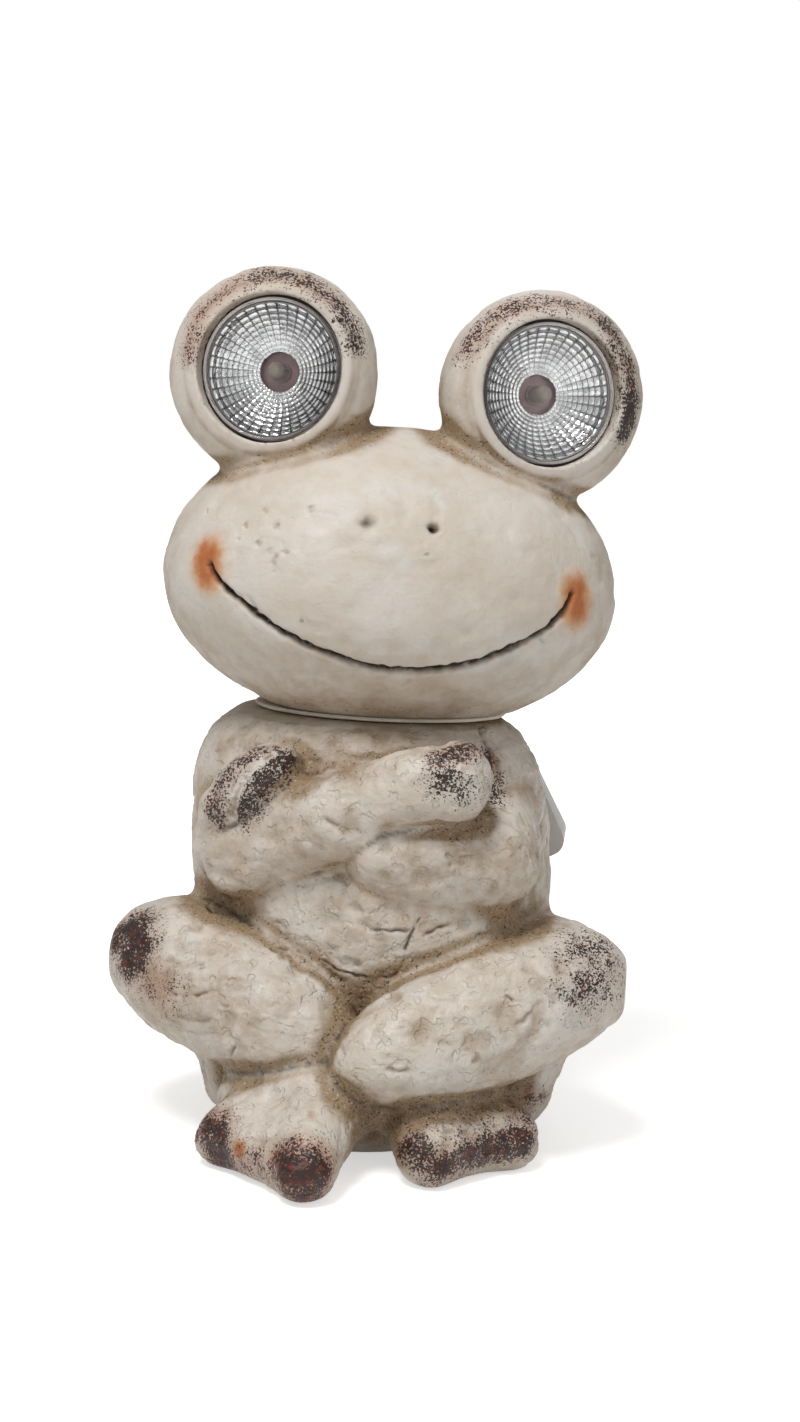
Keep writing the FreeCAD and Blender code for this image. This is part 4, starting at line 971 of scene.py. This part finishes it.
# Plain materials: colour, roughness, metallic, grain and its depth in mm, and how far the colour varies
PLAIN = {
    "mortar": ((236, 228, 212), 0.8, 0.0, 0.8, 0.18, 0.2),
    "housing_grey": ((204, 199, 194), 0.42, 0.0, 0.35, 0.02, 0.06),
    "black_rubber": ((40, 36, 38), 0.6, 0.0, 0.5, 0.03, 0.12),
    "screw_steel": ((176, 176, 178), 0.32, 1.0, 0.4, 0.01, 0.12),
    "plug_nylon": ((206, 202, 190), 0.5, 0.0, 0.5, 0.02, 0.12),
    "board_green": ((34, 96, 58), 0.4, 0.0, 0.6, 0.02, 0.12),
    "coil_copper": ((184, 110, 66), 0.35, 1.0, 0.4, 0.02, 0.12),
    "chip_black": ((34, 34, 36), 0.5, 0.0, 0.4, 0.02, 0.12),
    "lead_sleeve": ((46, 46, 48), 0.5, 0.0, 0.4, 0.02, 0.12),
    "cell_wrap": ((64, 120, 84), 0.35, 0.0, 0.5, 0.01, 0.12),
    "contact_steel": ((186, 182, 172), 0.3, 1.0, 0.4, 0.01, 0.12),
    "switch_black": ((42, 42, 44), 0.45, 0.0, 0.4, 0.02, 0.12),
}
MATERIALS = {name: make_material(plain_stuff, name, *row) for name, row in PLAIN.items()}
for name, make in (
    ("cast_stone", cast_stone), ("lens_clear", lens_clear), ("cup_black", cup_black),
    ("led_clear", led_clear), ("panel_blue", panel_blue), ("reflector_silver", reflector_silver),
):
    MATERIALS[name] = make_material(make, name)


def dress_nodes():
    """Every carried-over node gets the material of its slot."""
    slots = {row["node"]: row["material_slot"] for row in frame["record"]["subparts"]}
    for name, node in frame["nodes"].items():
        node.data.materials.clear()
        node.data.materials.append(MATERIALS[slots[name]])


# Round pieces of the eyes

def place_points(local, side):
    """Points from an eye's own frame, which looks along its axis from the lens's centre."""
    axis = Vector(eye_axis(side))
    right = Vector((0, 0, 1)).cross(axis).normalized()
    turn = Matrix((right, axis.cross(right), axis)).transposed()
    return np.asarray(local) @ np.array(turn).T + lens_centre(side)


def circle(radius, height, count):
    angles = [math.tau * i / count for i in range(count)]
    return [(radius * math.cos(angle), radius * math.sin(angle), height) for angle in angles]


def ring_faces(rows, columns):
    """Quads between rings of points, with the last ring joined to the first."""
    faces = []
    for row in range(rows):
        for i in range(columns):
            a, b, j = row * columns, (row + 1) % rows * columns, (i + 1) % columns
            faces.append((a + i, b + i, b + j, a + j))
    return faces


def revolve(outline, segments=96):
    """Points and faces of a closed outline of (radius, height) turned about the axis."""
    points, faces, rings = [], [], []
    for radius, height in outline:
        if radius < 1e-6:
            rings.append([len(points)])
            points.append((0.0, 0.0, height))
            continue
        rings.append(list(range(len(points), len(points) + segments)))
        points += circle(radius, height, segments)
    for first, second in zip(rings, rings[1:] + rings[:1]):
        for i in range(segments):
            j = (i + 1) % segments
            ends = ((first, i), (first, j), (second, j), (second, i))
            corners = dict.fromkeys(ring[k % len(ring)] for ring, k in ends)
            if len(corners) > 2:
                faces.append(tuple(corners))
    return points, faces


def fix_normals(piece):
    with editing(piece.data) as work:
        bmesh.ops.recalc_face_normals(work, faces=work.faces[:])


def sharpen(piece, degrees):
    """Edges sharper than an angle stay sharp."""
    limit = math.radians(degrees)
    with editing(piece.data) as work:
        for edge in work.edges:
            edge.smooth = len(edge.link_faces) == 2 and edge.calc_face_angle(0) < limit
        for face in work.faces:
            face.smooth = True


def arc(centre, radius, start, end, steps):
    out = []
    for i in range(steps + 1):
        angle = math.radians(start + (end - start) * i / steps)
        out.append((centre[0] + radius * math.cos(angle), centre[1] + radius * math.sin(angle)))
    return out


def crown(radius, height, base, steps):
    """Outline of a shallow dome from the rim to the axis."""
    shares = [1 - i / steps for i in range(steps + 1)]
    return [(radius * share, base + height * (1 - share ** 2)) for share in shares]


REFLECTOR_RINGS, REFLECTOR_SECTORS, FACET_STEPS, FACET_BULGE, FACET_TILT = 10, 36, 4, 0.5, 0.5
REFLECTOR_HOLE, REFLECTOR_RADIUS, REFLECTOR_FRONT, REFLECTOR_DEPTH = 5.6, 18.8, -2.2, 7.0
REFLECTOR_RIM, REFLECTOR_SKIN = 18.9, 0.7


def reflector_height(radius):
    share = (radius - REFLECTOR_HOLE) / (REFLECTOR_RADIUS - REFLECTOR_HOLE)
    return REFLECTOR_FRONT - REFLECTOR_DEPTH * (1 - max(share, 0) ** 1.7)


def reflector():
    """Dish of pillowed facets in rings, with a thin back skin and a flat rim."""
    rows = REFLECTOR_RINGS * FACET_STEPS
    columns = REFLECTOR_SECTORS * FACET_STEPS
    reach = REFLECTOR_RADIUS - REFLECTOR_HOLE
    tilts = np.random.default_rng(5).uniform(-1, 1, (REFLECTOR_RINGS + 1, REFLECTOR_SECTORS + 1, 2))
    rings, seams = [], []
    for row in range(rows + 1):
        ring_share = row / FACET_STEPS
        radius = REFLECTOR_HOLE + reach * (ring_share / REFLECTOR_RINGS) ** 1.12
        across = 1 - (2 * (ring_share % 1.0) - 1) ** 2
        ring = []
        for column in range(columns):
            angle = math.tau * column / columns
            share = (column / FACET_STEPS) % 1.0
            around = 1 - (2 * share - 1) ** 2
            tilt = tilts[row // FACET_STEPS, column // FACET_STEPS]
            lift = 1 + FACET_TILT * (tilt[0] * (share - 0.5) + tilt[1] * (ring_share % 1.0 - 0.5)) * 4
            bulge = FACET_BULGE * across * around * (0.25 + 0.75 * radius / REFLECTOR_RADIUS) * lift
            height = reflector_height(radius) + bulge
            ring.append((radius * math.cos(angle), radius * math.sin(angle), height))
            # Painted shade along the facets' edges, weaker towards the centre
            seams.append(0.4 + 0.6 * radius / REFLECTOR_RADIUS if across * around < 1e-6 else 0.0)
        rings.append(ring)
    outline = [(REFLECTOR_RIM, REFLECTOR_FRONT), (REFLECTOR_RIM, REFLECTOR_FRONT - 0.5),
               (17.6, REFLECTOR_FRONT - 1.1)]
    for radius in (16.0, 13.5, 11.0, 8.5, 6.5, REFLECTOR_HOLE):
        outline.append((radius, reflector_height(radius) - REFLECTOR_SKIN))
    rings += [circle(radius, height, columns) for radius, height in outline]
    points = [point for ring in rings for point in ring]
    seams += [0.0] * (len(points) - len(seams))
    return points, ring_faces(len(rings), columns), seams


# Slot and outline of each round piece, as radius and height from the lens's centre
EYE_PIECES = {
    "lens": ("lens_clear", crown(19.3, 1.1, -0.35, 8) + [
        (0, -1.2), (19.0, -1.2), (19.0, -2.2), (20.25, -2.2)] + arc((19.8, -0.45), 0.45, 0, 150, 6)),
    "seal": ("black_rubber", arc((21.1, -3.4), 0.78, -90, 90, 8) + [(20.35, -2.7), (20.35, -4.1)]),
    "cup": ("cup_black", [
        (18.95, -2.25), (20.25, -2.25), (20.25, -4.75), (18.9, -5.6), (12.5, -13.0), (0, -13.0), (0, -11.6),
        (11.8, -11.6), (17.6, -5.0), (18.95, -4.0)]),
    "led": ("led_clear", [
        (0, -11.6), (2.9, -11.6), (2.9, -10.6), (2.5, -10.6), (2.5, -5.5)] + arc((0, -5.5), 2.5, 0, 90, 8)),
}


def eye_piece(name, replaced, side, points, faces, sharp, slot, **values):
    """Object of the points in an eye's place, with values by point."""
    piece = make_object(name, place_points(points, side), faces)
    for label, row in values.items():
        add_attribute(piece.data, label, np.array(row))
    fix_normals(piece)
    sharpen(piece, sharp)
    finish_piece(piece, slot, [replaced])


def make_eyes():
    for side, word in ((-1, "right"), (1, "left")):
        for kind, (slot, outline) in EYE_PIECES.items():
            points, faces = revolve(outline)
            values = {}
            if kind == "cup":
                values["rim"] = [(z > -2.5) * (1.0 if math.hypot(x, y) > 20.0 else 0.5) for x, y, z in points]
            eye_piece(f"{kind}_round_{word}", f"eye_{kind}_{word}", side, points, faces, 35, slot, **values)
        points, faces, seams = reflector()
        eye_piece(f"reflector_facets_{word}", f"eye_reflector_{word}", side, points, faces, 50,
                  "reflector_silver", seam=seams)


def bevelled(node_name, name, slot, body, width):
    """Copy of a node's shape with its edges rounded, in the node's place."""
    mesh = frame["nodes"][node_name].data.copy()
    mesh.name = name
    with editing(mesh) as work:
        bmesh.ops.remove_doubles(work, verts=work.verts[:], dist=1e-6)
        bmesh.ops.dissolve_limit(work, angle_limit=math.radians(2), verts=work.verts[:], edges=work.edges[:])
    piece = add_object(name, mesh)
    bevel = piece.modifiers.new("edges", "BEVEL")
    bevel.width = width * MM
    bevel.segments = 3
    bevel.limit_method = "ANGLE"
    bevel.angle_limit = math.radians(30)
    bevel.harden_normals = False
    bpy.context.view_layer.update()
    evaluated = piece.evaluated_get(bpy.context.evaluated_depsgraph_get())
    shaped = bpy.data.meshes.new_from_object(evaluated)
    piece.modifiers.clear()
    piece.data = shaped
    sharpen(piece, 40)
    finish_piece(piece, slot, [node_name], body)


def neck_bead():
    """Uneven bead of mortar squeezed out between head and body, along the construction's ring."""
    around, tube, thick, middle = 160, 10, 0.6, 123.6
    ring = frame["nodes"]["neck_mortar"]
    corners = np.array([ring.matrix_world @ vertex.co for vertex in ring.data.vertices]) / MM
    low, high = corners.min(axis=0), corners.max(axis=0)
    centre_x, centre_y = (low[:2] + high[:2]) / 2
    reach_x, reach_y = (high[:2] - low[:2]) / 2 - 0.75
    points = []
    for i in range(around):
        angle = math.tau * i / around
        spot = np.array([[math.cos(angle) * 20, math.sin(angle) * 20, 0.0]])
        swell = float(noise(spot, 3.0, 7)[0]) * 0.12
        half_x, half_y = reach_x + swell, reach_y + swell
        section = [(-half_y / 2, -thick), (-half_y / 2, thick)] + arc((0, 0), thick, 90, -90, tube - 3)
        for out, up in section:
            x, y = math.cos(angle) * (half_x + out), math.sin(angle) * (half_y + out)
            points.append((centre_x + x, centre_y + y, middle + up))
    piece = make_object("mortar_bead", points, ring_faces(around, tube))
    fix_normals(piece)
    finish_piece(piece, "mortar", ["neck_mortar"])


# Stage

def make_camera():
    data = bpy.data.cameras.new("camera")
    data.sensor_width = SENSOR
    data.sensor_fit = "AUTO"
    data.lens = SENSOR * CAMERA_DISTANCE / (PHOTO_SIZE[1] * PHOTO_MM_PER_PIXEL)
    data.clip_start, data.clip_end = 0.05, 20
    camera = add_object("camera", data)
    matrix = camera_matrix()
    matrix.translation = matrix.translation * MM
    camera.matrix_world = matrix
    bpy.context.scene.camera = camera


def area_light(name, place, size, power):
    data = bpy.data.lights.new(name, "AREA")
    data.shape = "DISK"
    data.size = size
    data.energy = power
    lamp = add_object(name, data)
    lamp.location = place
    aim = Vector((0, 0, 0.12)) - Vector(place)
    lamp.rotation_euler = aim.to_track_quat("-Z", "Y").to_euler()


def white_floor(n):
    """Pale floor that glows to the camera, brighter with distance, so that no horizon shows."""
    n.surface(("Roughness", 0.7),
              ("Base Color", n.mix(n.noise(300, 2), linear(240, 240, 238), linear(236, 236, 235))))
    path = n.new("LightPath").outputs
    seen = n.math("MAXIMUM", path["Is Glossy Ray"], path["Is Transmission Ray"])
    seen = n.math("MAXIMUM", path["Is Camera Ray"], seen)
    away = n.new("VectorMath")
    away.operation = "LENGTH"
    n.fill(away, [(0, n.coords["Object"])])
    far = n.steps(away.outputs["Value"], 0.15, 0.8, 0.55, 1.0)
    glow = n.new("Emission", [("Color", (1, 1, 1, 1)), ("Strength", n.times(seen, far))])
    both = n.new("AddShader", [(0, n.shader.outputs[0]), (1, glow.outputs[0])])
    n.fill(n.tree.nodes["Material Output"], [("Surface", both.outputs[0])])


def make_stage():
    bpy.context.scene.view_settings.view_transform = "Standard"
    corners = [(x * FLOOR_REACH, y * FLOOR_REACH, 0) for x, y in ((-1, -1), (1, -1), (1, 1), (-1, 1))]
    floor = make_object("floor", corners, [(0, 1, 2, 3)])
    floor.data.materials.append(make_material(white_floor, "floor"))
    # White to the camera, and for the figure a grey that brightens upwards
    world = bpy.data.worlds.new("studio")
    bpy.context.scene.world = world
    n = Nodes(world, "Background")
    path = n.new("LightPath").outputs
    seen = n.math("MAXIMUM", path["Is Camera Ray"], path["Is Transmission Ray"])
    height = n.new("SeparateXYZ", [(0, n.coords["Generated"])]).outputs["Z"]
    sky = n.steps(height, -0.1, 0.9, 0.12, 0.56, "LINEAR")
    n.surface(("Color", (1, 1, 1, 1)), ("Strength", n.steps(seen, 0.0, 1.0, sky, 1.0, "LINEAR")))
    area_light("key", (-0.24, -0.66, 1.30), 0.45, 11.5)
    area_light("fill", (0.9, -0.8, 0.5), 0.8, 1.2)


def main():
    make_camera()
    make_stage()
    dress_nodes()
    cast_skin("body_skin", "body_casting", (body_field, body_crease, body_quiet),
              ((-76, -96, -2), (81, 49, 126)), BODY_LINES,
              (SPECKLES_BODY, CLEAN_BODY, BLUSH_BODY, DIRT_AND_SHADE_BODY, FOLDS_BODY), 120, 1.0)
    cast_skin("head_skin", "head_casting", (head_field, head_crease, head_quiet),
              ((-68, -56, 122), (75, 53, 254)), HEAD_LINES,
              (SPECKLES_HEAD, [], BLUSH_HEAD, GRIME_HEAD, FOLDS_HEAD), 14, 0.4)
    neck_bead()
    make_eyes()
    for node, name, slot, body, width in (
        ("solar_housing", "housing_shell", "housing_grey", BODY, 0.6),
        ("housing_base", "housing_plate", "housing_grey", BODY, 0.4),
        ("battery_cover", "cover_plate", "housing_grey", "battery_door", 0.25),
        ("switch_slider", "slider_knob", "switch_black", "switch_knob", 0.2),
    ):
        bevelled(node, name, slot, body, width)


main()
